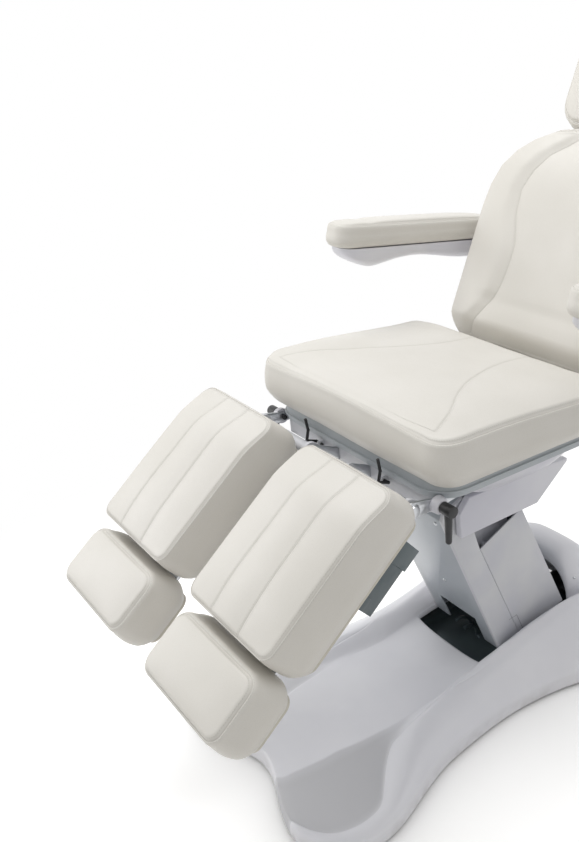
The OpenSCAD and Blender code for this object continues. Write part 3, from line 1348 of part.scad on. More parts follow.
base_cover();
rear_hood();
base_chassis();
rubber_feet();
mains_inlet();
control_box();
link_pivot_shaft();
arm_frame();
arm_front_cover();
arm_rear_cover();
arm_pivot_shaft();
level_link();
lift_motor();
lift_rod();
head_bracket();
head_cover();
head_pivot_shaft();
seat_frame();
seat_tray();
belly_pan();
seat_cushion();
front_beam();
leg_side_plates();
leg_hinge_shafts();
tilt_motor();
tilt_rod();
back_motor();
back_rod();
left_yoke();
left_leg_frame();
left_leg_board();
left_leg_cushion();
left_foot_slide();
left_foot_board();
left_foot_cushion();
left_clamp_lever();
left_release_rod();
right_yoke();
right_leg_frame();
right_leg_board();
right_leg_cushion();
right_foot_slide();
right_foot_board();
right_foot_cushion();
right_clamp_lever();
right_release_rod();
back_frame();
back_shell();
back_cushion();
armrest_shaft();
left_armrest_shell();
left_armrest_pad();
right_armrest_shell();
right_armrest_pad();
headrest_posts();
headrest_board();
headrest_cushion();
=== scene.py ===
import bpy
import bmesh
import math
from mathutils import Matrix, Vector, noise


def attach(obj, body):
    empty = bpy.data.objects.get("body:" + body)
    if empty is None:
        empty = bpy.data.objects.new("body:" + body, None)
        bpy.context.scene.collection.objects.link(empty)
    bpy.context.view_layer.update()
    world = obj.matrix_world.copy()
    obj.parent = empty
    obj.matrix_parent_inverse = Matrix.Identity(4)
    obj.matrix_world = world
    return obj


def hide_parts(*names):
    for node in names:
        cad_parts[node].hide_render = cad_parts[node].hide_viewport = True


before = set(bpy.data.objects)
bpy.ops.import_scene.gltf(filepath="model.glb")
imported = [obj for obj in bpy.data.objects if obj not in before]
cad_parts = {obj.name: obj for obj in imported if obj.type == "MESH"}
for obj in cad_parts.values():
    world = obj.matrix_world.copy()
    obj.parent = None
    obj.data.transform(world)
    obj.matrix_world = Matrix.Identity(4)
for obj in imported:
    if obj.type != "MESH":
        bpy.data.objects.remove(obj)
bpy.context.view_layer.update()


# ---------------------------------------------------------------- Camera
# It stands ahead of the chair's left front corner, above seat height, and looks down across the
# leg rests. The picture's frame cuts the chair on its right, so the view is shifted sideways.
camera_place = Vector((1.250, -1.015, 1.361))
camera_turn, camera_rise, camera_tilt = (math.radians(a) for a in (47.509, 26.330, 0.275))
picture_width, picture_height, film_width = 579, 842, 36.0
reach_in_dots, middle_x, middle_y = 852.413, 476.785, 458.470
back = Vector((math.sin(camera_turn) * math.cos(camera_rise),
               -math.cos(camera_turn) * math.cos(camera_rise), math.sin(camera_rise)))
right = Vector((math.cos(camera_turn), math.sin(camera_turn), 0.0))
up = back.cross(right)
across = math.cos(camera_tilt) * right + math.sin(camera_tilt) * up
upward = math.cos(camera_tilt) * up - math.sin(camera_tilt) * right
lens = bpy.data.cameras.new("camera")
lens.sensor_width = film_width
lens.lens = film_width * reach_in_dots / picture_height
lens.shift_x = -(middle_x - picture_width / 2) / picture_height
lens.shift_y = (middle_y - picture_height / 2) / picture_height
lens.clip_start = 0.05
camera = bpy.data.objects.new("camera", lens)
facing = Matrix((across, upward, back)).transposed().to_4x4()
camera.matrix_world = Matrix.Translation(camera_place) @ facing
bpy.context.collection.objects.link(camera)
bpy.context.scene.camera = camera


# ---------------------------------------------------------------- Floor, room light and lamps
# A pale floor under a white surround, with wide soft lamps above and ahead of the chair. The floor
# keeps the chair's soft shadow and runs out to white where nothing shades it.
def tint(red, green, blue):
    """A colour as it looks on screen, 0 to 255, turned into the light it sends back."""
    return tuple(((c / 255 + 0.055) / 1.055) ** 2.4 for c in (red, green, blue)) + (1.0,)


class Flow:
    """One value running through a set of nodes, so that a pattern reads as sums and products."""

    def __init__(self, nodes, socket):
        self.nodes, self.socket = nodes, socket

    def do(self, operation, *others):
        inputs = {k: value for k, value in enumerate((self, *others))}
        return self.nodes.add("ShaderNodeMath", inputs, operation=operation)

    def ramp(self, low, high, start=0.0, end=1.0):
        """Runs smoothly from start to end while the value runs from low to high."""
        return self.nodes.add("ShaderNodeMapRange", {0: self, 1: low, 2: high, 3: start, 4: end},
                              interpolation_type="SMOOTHSTEP")

    def __add__(self, other):
        return self.do("ADD", other)

    def __sub__(self, other):
        return self.do("SUBTRACT", other)

    def __mul__(self, other):
        return self.do("MULTIPLY", other)

    def __truediv__(self, other):
        return self.do("DIVIDE", other)

    def __rsub__(self, other):
        return self.nodes.add("ShaderNodeMath", {0: other, 1: self}, operation="SUBTRACT")

    __radd__, __rmul__ = __add__, __mul__

    def __abs__(self):
        return self.do("ABSOLUTE")


class Nodes:
    """The nodes of one finish, or of the room's light."""

    def __init__(self, tree):
        self.tree = tree

    def add(self, kind, inputs=None, out=0, **settings):
        """Any node: its type, its settings first, then the values or links of its sockets."""
        node = self.tree.nodes.new(kind)
        for name, value in settings.items():
            setattr(node, name, value)
        for socket, value in (inputs or {}).items():
            if isinstance(value, Flow):
                self.tree.links.new(value.socket, node.inputs[socket])
            else:
                node.inputs[socket].default_value = value
        return Flow(self, node.outputs[out])

    def seen(self):
        """1 where a thing is looked at, also in a mirror or through glass, and 0 for its light."""
        eye, mirror, glass = (self.add("ShaderNodeLightPath", out="Is " + kind + " Ray")
                              for kind in ("Camera", "Glossy", "Transmission"))
        return eye + mirror + glass


class Finish(Nodes):
    """A surface finish: its shader and the patterns that drive it. The slot name it is given is
    kept but not used.
    """

    def __init__(self, name, slot=None, **settings):
        self.slot = slot
        self.material = bpy.data.materials.new(name)
        self.material.use_nodes = True
        super().__init__(self.material.node_tree)
        self.shader = self.tree.nodes["Principled BSDF"]
        for socket, value in settings.items():
            self.shader.inputs[socket.replace("_", " ")].default_value = value

    def drive(self, socket, flow):
        self.tree.links.new(flow.socket, self.shader.inputs[socket])

    def driven(self, socket):
        """What drives a socket so far, for a further pattern to be laid over it."""
        return Flow(self, self.shader.inputs[socket].links[0].from_socket)

    def place(self, stretch=None):
        """The point on the object, with a pattern drawn out along an axis by a stretch."""
        spot = self.add("ShaderNodeTexCoord", out="Object")
        if stretch:
            spot = self.add("ShaderNodeMapping", {"Vector": spot, "Scale": stretch})
        return spot

    def cloud(self, scale, detail, at=None):
        return self.add("ShaderNodeTexNoise",
                        {"Vector": at or self.place(), "Scale": scale, "Detail": detail})

    def mix(self, share, first, second):
        return self.add("ShaderNodeMix", {0: share, 6: first, 7: second}, out=2, data_type="RGBA")

    def relief(self, height, depth, strength, under=None):
        """Raises or sinks the surface by a height of 1 times depth, in metres."""
        inputs = {"Height": height, "Distance": depth, "Strength": strength}
        if under:
            inputs["Normal"] = under
        return self.add("ShaderNodeBump", inputs)


def stood(name, shape):
    """A bmesh as an object of the scene, unturned and at the origin."""
    mesh = bpy.data.meshes.new(name)
    shape.to_mesh(mesh)
    shape.free()
    thing = bpy.data.objects.new(name, mesh)
    bpy.context.collection.objects.link(thing)
    return thing


white, warm_white = (1.0, 1.0, 1.0, 1.0), (1.0, 0.985, 0.96, 1.0)
floor_half, white_from, white_to = 7.0, 0.75, 1.5
shade_reach, shade_fill, room_level = 0.45, 0.36, 0.62
floor_sheet = bmesh.new()
bmesh.ops.create_grid(floor_sheet, x_segments=1, y_segments=1, size=floor_half)
floor = stood("floor", floor_sheet)
pale = Finish("pale_floor")
matt = pale.add("ShaderNodeBsdfDiffuse", {"Color": tint(238, 236, 233)})
lit = pale.add("ShaderNodeBsdfDiffuse", {"Color": white})
shelter = pale.add("ShaderNodeAmbientOcclusion", {"Distance": shade_reach}, out="AO", samples=8)
fill_light = pale.add("ShaderNodeEmission",
                      {"Color": warm_white, "Strength": shelter * shelter * shade_fill})
open_floor = pale.add("ShaderNodeEmission", {"Color": white, "Strength": 1.0})
near_chair = pale.add("ShaderNodeAddShader", {0: lit, 1: fill_light})
distance = pale.add("ShaderNodeVectorMath", {0: pale.place()}, out="Value", operation="LENGTH")
looked_at = pale.add("ShaderNodeMixShader",
                     {0: distance.ramp(white_from, white_to), 1: near_chair, 2: open_floor})
shown = pale.add("ShaderNodeMixShader", {0: pale.seen(), 1: matt, 2: looked_at})
pale.tree.links.new(shown.socket, pale.tree.nodes["Material Output"].inputs["Surface"])
floor.data.materials.append(pale.material)

room = bpy.data.worlds.new("room")
bpy.context.scene.world = room
room.use_nodes = True
sky = room.node_tree.nodes["Background"]
sky.inputs["Color"].default_value = white
level = Nodes(room.node_tree).seen().ramp(0.0, 1.0, room_level, 1.0)
room.node_tree.links.new(level.socket, sky.inputs["Strength"])
bpy.context.scene.view_settings.view_transform = "Standard"

for lamp_name, lamp_place, lamp_aim, lamp_size, lamp_power in (
        ("lamp_above", (-0.9, -0.3, 3.2), (0.0, 0.0, 0.5), 1.8, 42.0),
        ("lamp_ahead", (-2.2, -2.0, 1.3), (0.0, -0.2, 0.30), 1.6, 18.0),
        ("lamp_behind", (1.4, 2.6, 2.2), (0.0, 0.2, 0.7), 1.8, 8.0)):
    lamp = bpy.data.lights.new(lamp_name, "AREA")
    lamp.shape = "SQUARE"
    lamp.size = lamp_size
    lamp.energy = lamp_power
    holder = bpy.data.objects.new(lamp_name, lamp)
    away = Vector(lamp_place) - Vector(lamp_aim)
    holder.matrix_world = Matrix.Translation(lamp_place) @ \
        away.to_track_quat("Z", "Y").to_matrix().to_4x4()
    bpy.context.collection.objects.link(holder)


# ---------------------------------------------------------------- Base moulding
# The floor base's cover: one vacuum-formed ABS sheet, with two dished lobes at the front, a raised
# tongue between them, and wings that swell up beside the slot for the lift arm.
def smooth(u):
    """Runs gently from 0 to 1 while u does, and stays at either end beyond."""
    u = min(1.0, max(0.0, u))
    return u * u * (3 - 2 * u)


def curve(table, x, k):
    """Smooth value at x of a table: each row's first entry is its place, its k-th the value."""
    i = 0
    while i < len(table) - 2 and x > table[i + 1][0]:
        i += 1

    def lean(j):
        a, b = max(0, j - 1), min(len(table) - 1, j + 1)
        return (table[b][k] - table[a][k]) / (table[b][0] - table[a][0])

    span = table[i + 1][0] - table[i][0]
    u = min(1.0, max(0.0, (x - table[i][0]) / span))
    a, b, p, q = table[i][k], table[i + 1][k], lean(i) * span, lean(i + 1) * span
    return a + u * (p + u * (3 * (b - a) - 2 * p - q + u * (p + q - 2 * (b - a))))


def between(pairs, x):
    """Straight-line value at x of a list of (place, value) pairs in order."""
    for (x0, y0), (x1, y1) in zip(pairs, pairs[1:]):
        if x <= x1:
            return y0 + (y1 - y0) * max(0.0, (x - x0) / max(1e-9, x1 - x0))
    return pairs[-1][1]


def skin(points, carries=()):
    """A mesh sheet with its vertices at a table of points, row by row, and its edge in order."""
    rows, columns = len(points), len(points[0])
    sheet = bmesh.new()
    for name in carries:
        sheet.verts.layers.float.new(name)
    bmesh.ops.create_grid(sheet, x_segments=columns - 1, y_segments=rows - 1, size=1.0)
    grid = {}
    for v in sheet.verts:
        grid[round((v.co.y + 1) / 2 * (rows - 1)), round((v.co.x + 1) / 2 * (columns - 1))] = v
    for (j, i), v in grid.items():
        v.co = points[j][i]
    edge = [grid[0, i] for i in range(columns)] + [grid[j, columns - 1] for j in range(1, rows)] \
        + [grid[rows - 1, i] for i in range(columns - 2, -1, -1)] \
        + [grid[j, 0] for j in range(rows - 2, 0, -1)]
    return sheet, grid, edge


def grow(sheet, ring):
    """Extrudes a closed ring of vertices and returns the new ring, in the same order."""
    count = len(ring)
    edges = [sheet.edges.get((ring[k], ring[(k + 1) % count])) for k in range(count)]
    made = bmesh.ops.extrude_edge_only(sheet, edges=edges)["geom"]
    fresh = {v for v in made if isinstance(v, bmesh.types.BMVert)}
    return [next(e.other_vert(v) for e in v.link_edges if e.other_vert(v) in fresh) for v in ring]


def outward(ring):
    """The level direction that points out of a ring, at each of its vertices."""
    count, out = len(ring), []
    for k in range(count):
        run = ring[(k + 1) % count].co - ring[k - 1].co
        out.append(Vector((run.y, -run.x, 0.0)).normalized())
    return out


def fit(name, shape, finish, body, nodes, bend=None):
    """Makes a finished piece of a bmesh, lets it ride on its body, and stands it in for nodes."""
    bmesh.ops.recalc_face_normals(shape, faces=shape.faces)
    for face in shape.faces:
        face.smooth = True
    if bend:
        for e in shape.edges:
            if len(e.link_faces) == 2 and e.calc_face_angle(0.0) > math.radians(bend):
                e.smooth = False
    piece = stood(name, shape)
    piece.data.materials.append(finish.material)
    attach(piece, body)
    if nodes:
        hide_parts(*nodes)
    return piece


def subdivided(piece, times):
    rounding = piece.modifiers.new("rounding", "SUBSURF")
    rounding.levels = rounding.render_levels = times
    return piece


def moulded(name, slot, colour, deep, rough):
    """Moulded plastic: a fine spark-eroded grain, faint clouds of shade, and dust low down."""
    finish = Finish(name, slot, IOR=1.5)
    patches = finish.cloud(5.0, 3.0)
    flecks = finish.cloud(900.0, 1.0)
    height = finish.add("ShaderNodeSeparateXYZ", {0: finish.place()}, out="Z")
    dust = (1 - height.ramp(0.006, 0.045)) * finish.cloud(26.0, 4.0).ramp(0.42, 0.66)
    body_colour = finish.mix(patches.ramp(0.3, 0.7), colour, deep)
    finish.drive("Base Color", finish.mix(dust * 0.22, body_colour, tint(150, 146, 138)))
    finish.drive("Roughness",
                 rough + (patches - 0.5) * 0.10 + (flecks - 0.5) * 0.08 + dust * 0.2)
    finish.drive("Normal", finish.relief(flecks, 0.00012, 0.35, finish.relief(patches, 0.002, 0.2)))
    return finish


base_plastic = moulded("base_plastic", "base_moulding", tint(234, 234, 238), tint(226, 226, 231),
                       0.36)
# Painted shade: the dished front lobes are painted a darker grey through this mask, standing in for
# the shade on their sloping floors. The same mask also makes them rougher.
dish_shade = base_plastic.add("ShaderNodeAttribute", attribute_name="dish_shade", out="Fac")
base_plastic.drive("Base Color", base_plastic.mix(dish_shade * 0.9, base_plastic.driven("Base Color"),
                                                  tint(196, 196, 199)))
base_plastic.drive("Roughness", base_plastic.driven("Roughness") + dish_shade * 0.18)

crest_height, skirt_height, foot_height, cover_wall = 0.150, 0.042, 0.0085, 0.0035
base_table = (
    (-1.00, 0.70, 0.93, 0.86, 0.36, 0.27, 0.31, 0.245),
    (-0.98, 0.80, 0.93, 0.87, 0.35, 0.27, 0.32, 0.245),
    (-0.93, 0.93, 0.945, 0.88, 0.32, 0.27, 0.33, 0.24),
    (-0.86, 0.985, 0.95, 0.89, 0.32, 0.27, 0.33, 0.24),
    (-0.78, 1.00, 0.95, 0.89, 0.33, 0.275, 0.33, 0.24),
    (-0.70, 0.985, 0.94, 0.87, 0.34, 0.29, 0.33, 0.24),
    (-0.64, 0.955, 0.91, 0.79, 0.37, 0.33, 0.33, 0.24),
    (-0.56, 0.905, 0.85, 0.67, 0.41, 0.39, 0.33, 0.25),
    (-0.50, 0.865, 0.79, 0.60, 0.44, 0.44, 0.33, 0.265),
    (-0.42, 0.82, 0.73, 0.56, 0.48, 0.485, 0.33, 0.29),
    (-0.34, 0.785, 0.70, 0.54, 0.50, 0.52, 0.33, 0.32),
    (-0.16, 0.75, 0.66, 0.52, 0.49, 0.59, 0.33, 0.33),
    (0.00, 0.735, 0.64, 0.49, 0.46, 0.67, 0.34, 0.34),
    (0.14, 0.745, 0.64, 0.47, 0.44, 0.76, 0.36, 0.36),
    (0.34, 0.80, 0.60, 0.45, 0.42, 0.90, 0.44, 0.44),
    (0.54, 0.90, 0.56, 0.44, 0.41, 1.00, 0.62, 0.62),
    (0.70, 0.975, 0.54, 0.44, 0.41, 0.98, 0.74, 0.74),
    (0.82, 1.00, 0.54, 0.46, 0.43, 0.84, 0.72, 0.72),
    (0.91, 0.965, 0.56, 0.46, 0.43, 0.62, 0.58, 0.58),
    (0.97, 0.85, 0.58, 0.46, 0.43, 0.46, 0.45, 0.45),
    (1.00, 0.70, 0.60, 0.46, 0.43, 0.38, 0.38, 0.38))
base_half_width, base_half_length = 0.311, 0.505
slot_half, slot_front, slot_rear = 0.122, 0.042, 0.462
step_width, lip_width, brim_width = 0.008, 0.008, 0.016


def base_section(v):
    """The cover across a station: half width, landmarks, and (place, height) pairs."""
    w = curve(base_table, v, 1) * base_half_width
    crest, crease, tongue = (curve(base_table, v, k) * w for k in (2, 3, 4))
    top, low, dish = (curve(base_table, v, k) * crest_height for k in (5, 6, 7))
    edge = min(skirt_height, dish)
    mid, step = (edge + top) / 2, min(step_width, (crease - tongue) / 3)
    lip, brim = min(lip_width, (crest - crease) / 4), min(brim_width, (w - crest) / 4)
    pairs = [(0, low), (tongue, low), (tongue + step, low - (low - dish) / 3),
             (crease - step, dish), (crease + lip, dish + (top - dish) / 6),
             ((crease + crest) / 2, (dish + top) / 2 + (top - dish) / 6), (crest, top),
             ((crest + w) / 2, (top + mid) / 2), (w - brim, (edge + mid) / 2), (w, edge)]
    return w, crest, crease, tongue, lip, brim, pairs


# Before the slot the tongue widens to the slot's width, and least widths keep the columns apart.
widen_from, widen_to, least_gutter, least_lip, least_wing = -0.12, -0.02, 0.036, 0.005, 0.006
bowl_depth, groove_depth, groove_half = 0.010, 0.0022, 0.0024
nose_reach, nose_half, lobe_end, dish_shade_end = 0.052, 0.190, -0.45, -0.34
slot_edge_gap, hair = 0.006, 0.0006
stations = sorted({-1, -0.992, -0.978, -0.955, -0.925, 0.955, 0.98, 0.993, 1}
                  | {-0.89 + 0.032 * k for k in range(57)}
                  | {y / base_half_length for y in (slot_front, slot_rear,
                                                    slot_front - slot_edge_gap,
                                                    slot_front + slot_edge_gap)})
cover_points, slot_rows = [], []
for v in stations:
    y = v * base_half_length
    w, crest, crease, tongue, lip, brim, pairs = base_section(v)
    if y > widen_to:
        tongue = max(tongue, slot_half)
    else:
        tongue += (slot_half - tongue) * smooth((y - widen_from) / (widen_to - widen_from))
    if y >= slot_front - hair:
        tongue = slot_half
    crease = max(crease, tongue + least_gutter)
    lip = max(lip, least_lip)
    crest = max(crest, crease + 2 * lip + least_wing)
    places = [0, tongue / 2, tongue - 0.006, tongue, tongue + 0.003, tongue + 0.012,
              (tongue + crease) / 2, crease - 0.009, crease - 0.0025, crease, crease + 0.0025,
              crease + lip, (crease + crest) / 2, crest, (crest + w) / 2, w - brim, w]
    row = []
    for side in (-1, 1):
        for x in (places[::-1] if side < 0 else places[1:]):
            bowl = smooth((x - tongue) / (crease - tongue)) * smooth((lobe_end - v) / 0.2)
            bowl *= 1 - smooth((x - crease + 0.010) / 0.012)
            groove = max(0.0, 1 - abs(x - crease) / groove_half) * smooth((0.12 - v) / 0.2)
            nose = nose_reach * (1 - smooth(x / nose_half)) * smooth((lobe_end - v) / 0.55)
            row.append((side * x, y + nose,
                        between(pairs, x) - bowl_depth * bowl - groove_depth * groove))
    cover_points.append(row)
    slot_rows.append(slot_front - hair <= y <= slot_rear + hair)
cover, grid, edge = skin(cover_points, ("dish_shade",))
middle = len(cover_points[0]) // 2
sharpness = cover.edges.layers.float.new("crease_edge")
dish_shade_share = cover.verts.layers.float["dish_shade"]
# The painted shade covers the dish columns at the front and fades out to the rear. Its two edge
# columns take 0.6 of it.
for (j, i), v in grid.items():
    column = abs(i - middle)
    partial_share = 0.6 if column in (4, 8) else 1.0
    v[dish_shade_share] = (4 <= column <= 8) * smooth((dish_shade_end - stations[j]) / 0.22) * partial_share
for j in range(len(stations) - 1):
    for i, share in ((3, 0.85), (4, 0.5), (9, 0.8), (8, 0.6)):
        for k in (middle + i, middle - i):
            cover.edges.get((grid[j, k], grid[j + 1, k]))[sharpness] = share
for k, v in enumerate(edge):
    cover.edges.get((v, edge[k - 1]))[sharpness] = 0.7
over_slot = [face for face in cover.faces
             if all(abs(v.co.x) <= slot_half + hair
                    and slot_front - hair <= v.co.y <= slot_rear + hair for v in face.verts)]
bmesh.ops.delete(cover, geom=over_slot, context="FACES")
first, last = slot_rows.index(True), len(slot_rows) - 1 - slot_rows[::-1].index(True)
left, far = middle - 3, middle + 3
slot_edge = [grid[first, i] for i in range(left, far + 1)] \
    + [grid[j, far] for j in range(first + 1, last + 1)] \
    + [grid[last, i] for i in range(far - 1, left - 1, -1)] \
    + [grid[j, left] for j in range(last - 1, first, -1)]
for drop, inward in ((0.0015, 0.0012), (0.012, 0.0015)):
    slot_edge = grow(cover, slot_edge)
    for v, out in zip(slot_edge, outward(slot_edge)):
        v.co += Vector((0, 0, -drop)) - out * inward
for drop_to, shift in ((0.90, 0.0016), (0.55, 0.0010), (0.20, 0.0), (0.0, -0.0005)):
    directions, heights = outward(edge), [v.co.z for v in edge]
    edge = grow(cover, edge)
    for v, out, z in zip(edge, directions, heights):
        v.co += out * shift
        v.co.z = foot_height + (z - foot_height) * drop_to
bmesh.ops.recalc_face_normals(cover, faces=cover.faces)
bmesh.ops.solidify(cover, geom=cover.faces[:], thickness=-cover_wall)
subdivided(fit("base_shell", cover, base_plastic, "base", ("base_cover",)), 2)


# ---------------------------------------------------------------- Rear hood
# A separate moulded hood over the lift motor, screwed down on the base behind the arm. It shows a
# seam all round where it meets the base.
hood_front, hood_length, hood_half, hood_height = 0.332, 0.178, 0.145, 0.118
hood_skirt, hood_wall = 0.030, 0.003
hood_table = ((0.00, 0.80, 0.92), (0.06, 0.84, 0.98), (0.20, 0.88, 1.00), (0.45, 0.94, 0.90),
              (0.70, 1.00, 0.62), (0.88, 0.98, 0.32), (1.00, 0.90, 0.12))
arch = [-1, -0.985, -0.95, -0.9, -0.8, -0.65, -0.45, -0.22]
arch = arch + [0] + [-s for s in reversed(arch)]


def bow(s, power):
    """Height at s, from -1 to 1, of an arch 1 high; a greater power squares its shoulders."""
    return math.sqrt(max(0.0, 1 - abs(s) ** power))


hood_points = []
for k in range(25):
    v = k / 24
    y = hood_front + v * hood_length
    foot = curve(base_table, y / base_half_length, 6) * crest_height
    w, h = curve(hood_table, v, 1) * hood_half, curve(hood_table, v, 2) * hood_height
    hood_points.append([(s * w, y, foot + h * bow(s, 4)) for s in arch])
hood, _, edge = skin(hood_points)
for v in grow(hood, edge):
    v.co.z -= hood_skirt
bmesh.ops.recalc_face_normals(hood, faces=hood.faces)
bmesh.ops.solidify(hood, geom=hood.faces[:], thickness=-hood_wall)
subdivided(fit("motor_hood", hood, base_plastic, "base", ("rear_hood",)), 1)


# ---------------------------------------------------------------- Steel parts of the base
# Welded and painted steel chassis, rubber feet, the lift motor with its rod, the mains inlet and
# the control box: all but the feet's edges and the inlet sit out of sight under the cover.
def softened(node, width, steps):
    """A CAD node's own shape with its edges broken, as sheet and bar ends are before painting."""
    part = bmesh.new()
    part.from_mesh(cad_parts[node].data)
    bmesh.ops.remove_doubles(part, verts=part.verts, dist=0.00002)
    bmesh.ops.dissolve_limit(part, angle_limit=math.radians(0.6), verts=part.verts,
                             edges=part.edges)
    sharp = [e for e in part.edges
             if len(e.link_faces) == 2 and e.calc_face_angle(0.0) > math.radians(30)]
    bmesh.ops.bevel(part, geom=sharp, offset=width, offset_type="OFFSET", segments=steps,
                    profile=0.5, affect="EDGES", clamp_overlap=True, material=-1)
    return part


def dress(name, node, width, finish, body, steps=2, bend=35):
    """Stands a CAD node's softened shape in for the node, in its finish."""
    return fit(name, softened(node, width, steps), finish, body, (node,), bend)


def painted(name, slot, colour, deep, rough):
    """Powder-coated steel: slight orange peel, a little cloudiness, and dull handling marks."""
    finish = Finish(name, slot, IOR=1.5, Coat_Roughness=0.2)
    peel = finish.cloud(420.0, 2.0)
    patches = finish.cloud(9.0, 3.0)
    marks = finish.cloud(38.0, 5.0).ramp(0.52, 0.70)
    finish.drive("Base Color", finish.mix(patches.ramp(0.3, 0.7), colour, deep))
    finish.drive("Roughness", rough + (patches - 0.5) * 0.12 + marks * 0.10)
    finish.drive("Coat Weight", 0.25 - marks * 0.15)
    finish.drive("Normal", finish.relief(peel, 0.00006, 0.6))
    return finish


def polished(name, slot, colour, deep, rough, stretch):
    """Plated or ground steel: fine lines drawn along one way, and patches a shade duller."""
    finish = Finish(name, slot, Metallic=1.0)
    lines = finish.cloud(260.0, 3.0, finish.place(stretch))
    patches = finish.cloud(14.0, 3.0)
    finish.drive("Base Color", finish.mix(patches.ramp(0.35, 0.7), colour, deep))
    finish.drive("Roughness", rough + (lines - 0.5) * 0.16 + (patches - 0.5) * 0.08)
    finish.drive("Normal", finish.relief(lines, 0.00004, 0.5))
    return finish


def rubbery(name, slot, colour, deep, rough):
    """Moulded black plastic or rubber: fine matt grain, with greyer rubbed patches."""
    finish = Finish(name, slot, IOR=1.48)
    grain = finish.cloud(1100.0, 2.0)
    partial_share = finish.cloud(24.0, 4.0).ramp(0.45, 0.72)
    finish.drive("Base Color", finish.mix(partial_share, colour, deep))
    finish.drive("Roughness", rough + (grain - 0.5) * 0.16 - partial_share * 0.06)
    finish.drive("Normal", finish.relief(grain, 0.0001, 0.5))
    return finish


dark_paint = painted("dark_paint", "dark_steel", tint(82, 94, 98), tint(70, 81, 85), 0.36)
bright_steel = polished("bright_steel", "bright_steel", tint(208, 210, 213), tint(176, 179, 182),
                        0.34, (1.0, 14.0, 14.0))
black_plastic = rubbery("black_plastic", "black_plastic", tint(34, 34, 36), tint(46, 46, 48), 0.44)
black_rubber = rubbery("black_rubber", "black_rubber", tint(30, 30, 31), tint(48, 47, 45), 0.68)
dress("chassis", "base_chassis", 0.0010, dark_paint, "base")
dress("feet", "rubber_feet", 0.0020, black_rubber, "base", 3, 50)
dress("inlet", "mains_inlet", 0.0008, black_plastic, "base")
dress("control_case", "control_box", 0.0030, black_plastic, "base", 3, 50)
dress("lift_motor_case", "lift_motor", 0.0020, black_plastic, "lift_motor")
for node, body in (("link_pivot_shaft", "base"), ("lift_rod", "lift_rod"),
                   ("arm_pivot_shaft", "lift_arm"), ("head_pivot_shaft", "lift_arm")):
    dress(node + "_turned", node, 0.0008, bright_steel, body)


# ---------------------------------------------------------------- Lift arm and its casing
# A welded frame of two side plates, cased in two painted steel covers that meet in a seam down
# each side. The levelling link runs inside, behind the frame.
arm_paint = painted("arm_paint", "arm_paint", tint(206, 207, 210), tint(198, 199, 206), 0.30)
dress("arm_weldment", "arm_frame", 0.0010, arm_paint, "lift_arm")
arm_lean, arm_foot = math.radians(24.0), Vector((0.0, 0.215, 0.112))
arm_place = Matrix.Translation(arm_foot) @ Matrix.Rotation(arm_lean, 4, "X")
casing_paint = painted("casing_paint", "arm_paint", tint(206, 207, 210), tint(198, 199, 206), 0.30)
spot_x, spot_y, spot_z = (
    casing_paint.add("ShaderNodeSeparateXYZ", {0: casing_paint.place()}, out=axis)
    for axis in "XYZ")
arm_y = (spot_y - arm_foot.y) * math.cos(arm_lean) + (spot_z - arm_foot.z) * math.sin(arm_lean)
arm_s = (spot_z - arm_foot.z) * math.cos(arm_lean) - (spot_y - arm_foot.y) * math.sin(arm_lean)
front_face = 1 - abs(spot_x).ramp(0.1060, 0.1072)
face_colour = casing_paint.mix(front_face * 0.85, casing_paint.driven("Base Color"),
                               tint(156, 164, 171))
# At the foot the seam between the covers steps: a slanting line, then a short upright one.
step_s, step_y, step_fall, step_middle, upright_y = 0.066, -0.064, 0.33, -0.053, -0.0412
hairline = (0.0004, 0.0009)
slanting = (1 - abs(arm_s - step_s + (arm_y - step_y) * step_fall).ramp(*hairline)) \
    * (1 - abs(arm_y - step_middle).ramp(0.0112, 0.0118))
upright = (1 - abs(arm_y - upright_y).ramp(*hairline)) * (1 - arm_s.ramp(0.0585, 0.0592))
step_line = (slanting + upright) * abs(spot_x).ramp(0.1120, 0.1125)
casing_paint.drive("Base Color", casing_paint.mix(step_line * 0.75, face_colour, tint(84, 86, 92)))
casing_paint.drive("Normal", casing_paint.relief(1 - step_line, 0.0008, 0.8,
                                                 casing_paint.driven("Normal")))
dress("arm_casing_front", "arm_front_cover", 0.0030, casing_paint, "lift_arm", 3, 40)
dress("arm_casing_rear", "arm_rear_cover", 0.0015, casing_paint, "lift_arm", 3, 40)


def turned(profile, place, segments=32):
    """A turned part: (radius, height) points spun about its own axis, then put in place."""
    part = bmesh.new()
    line = [part.verts.new((r, 0.0, z)) for r, z in profile]
    edges = [part.edges.new(pair) for pair in zip(line, line[1:])]
    bmesh.ops.spin(part, geom=line + edges, axis=(0, 0, 1), cent=(0, 0, 0), angle=2 * math.pi,
                   steps=segments, use_merge=True)
    bmesh.ops.remove_doubles(part, verts=part.verts, dist=1e-6)
    bmesh.ops.recalc_face_normals(part, faces=part.faces)
    bmesh.ops.transform(part, matrix=place, verts=part.verts)
    return part


def closed(shape):
    """Fills the open ends of a shape."""
    bmesh.ops.holes_fill(shape, edges=[e for e in shape.edges if e.is_boundary], sides=0)


def gathered(parts):
    """Several small fittings as one mesh."""
    whole = bmesh.new()
    for part in parts:
        mesh = bpy.data.meshes.new("part")
        part.to_mesh(mesh)
        part.free()
        whole.from_mesh(mesh)
        bpy.data.meshes.remove(mesh)
    return whole


def screws(name, radius, rise, places, body):
    """A set of pan-head screws, each a turned dome with a hollow for the driver."""
    profile = [(0.0, rise * 0.35), (radius * 0.28, rise * 0.42), (radius * 0.34, rise * 0.95),
               (radius * 0.6, rise), (radius * 0.85, rise * 0.8), (radius, rise * 0.3),
               (radius, -0.001), (0.0, -0.001)]
    heads = gathered([turned(profile, place, 24) for place in places])
    fit(name, heads, bright_steel, body, (), 40)


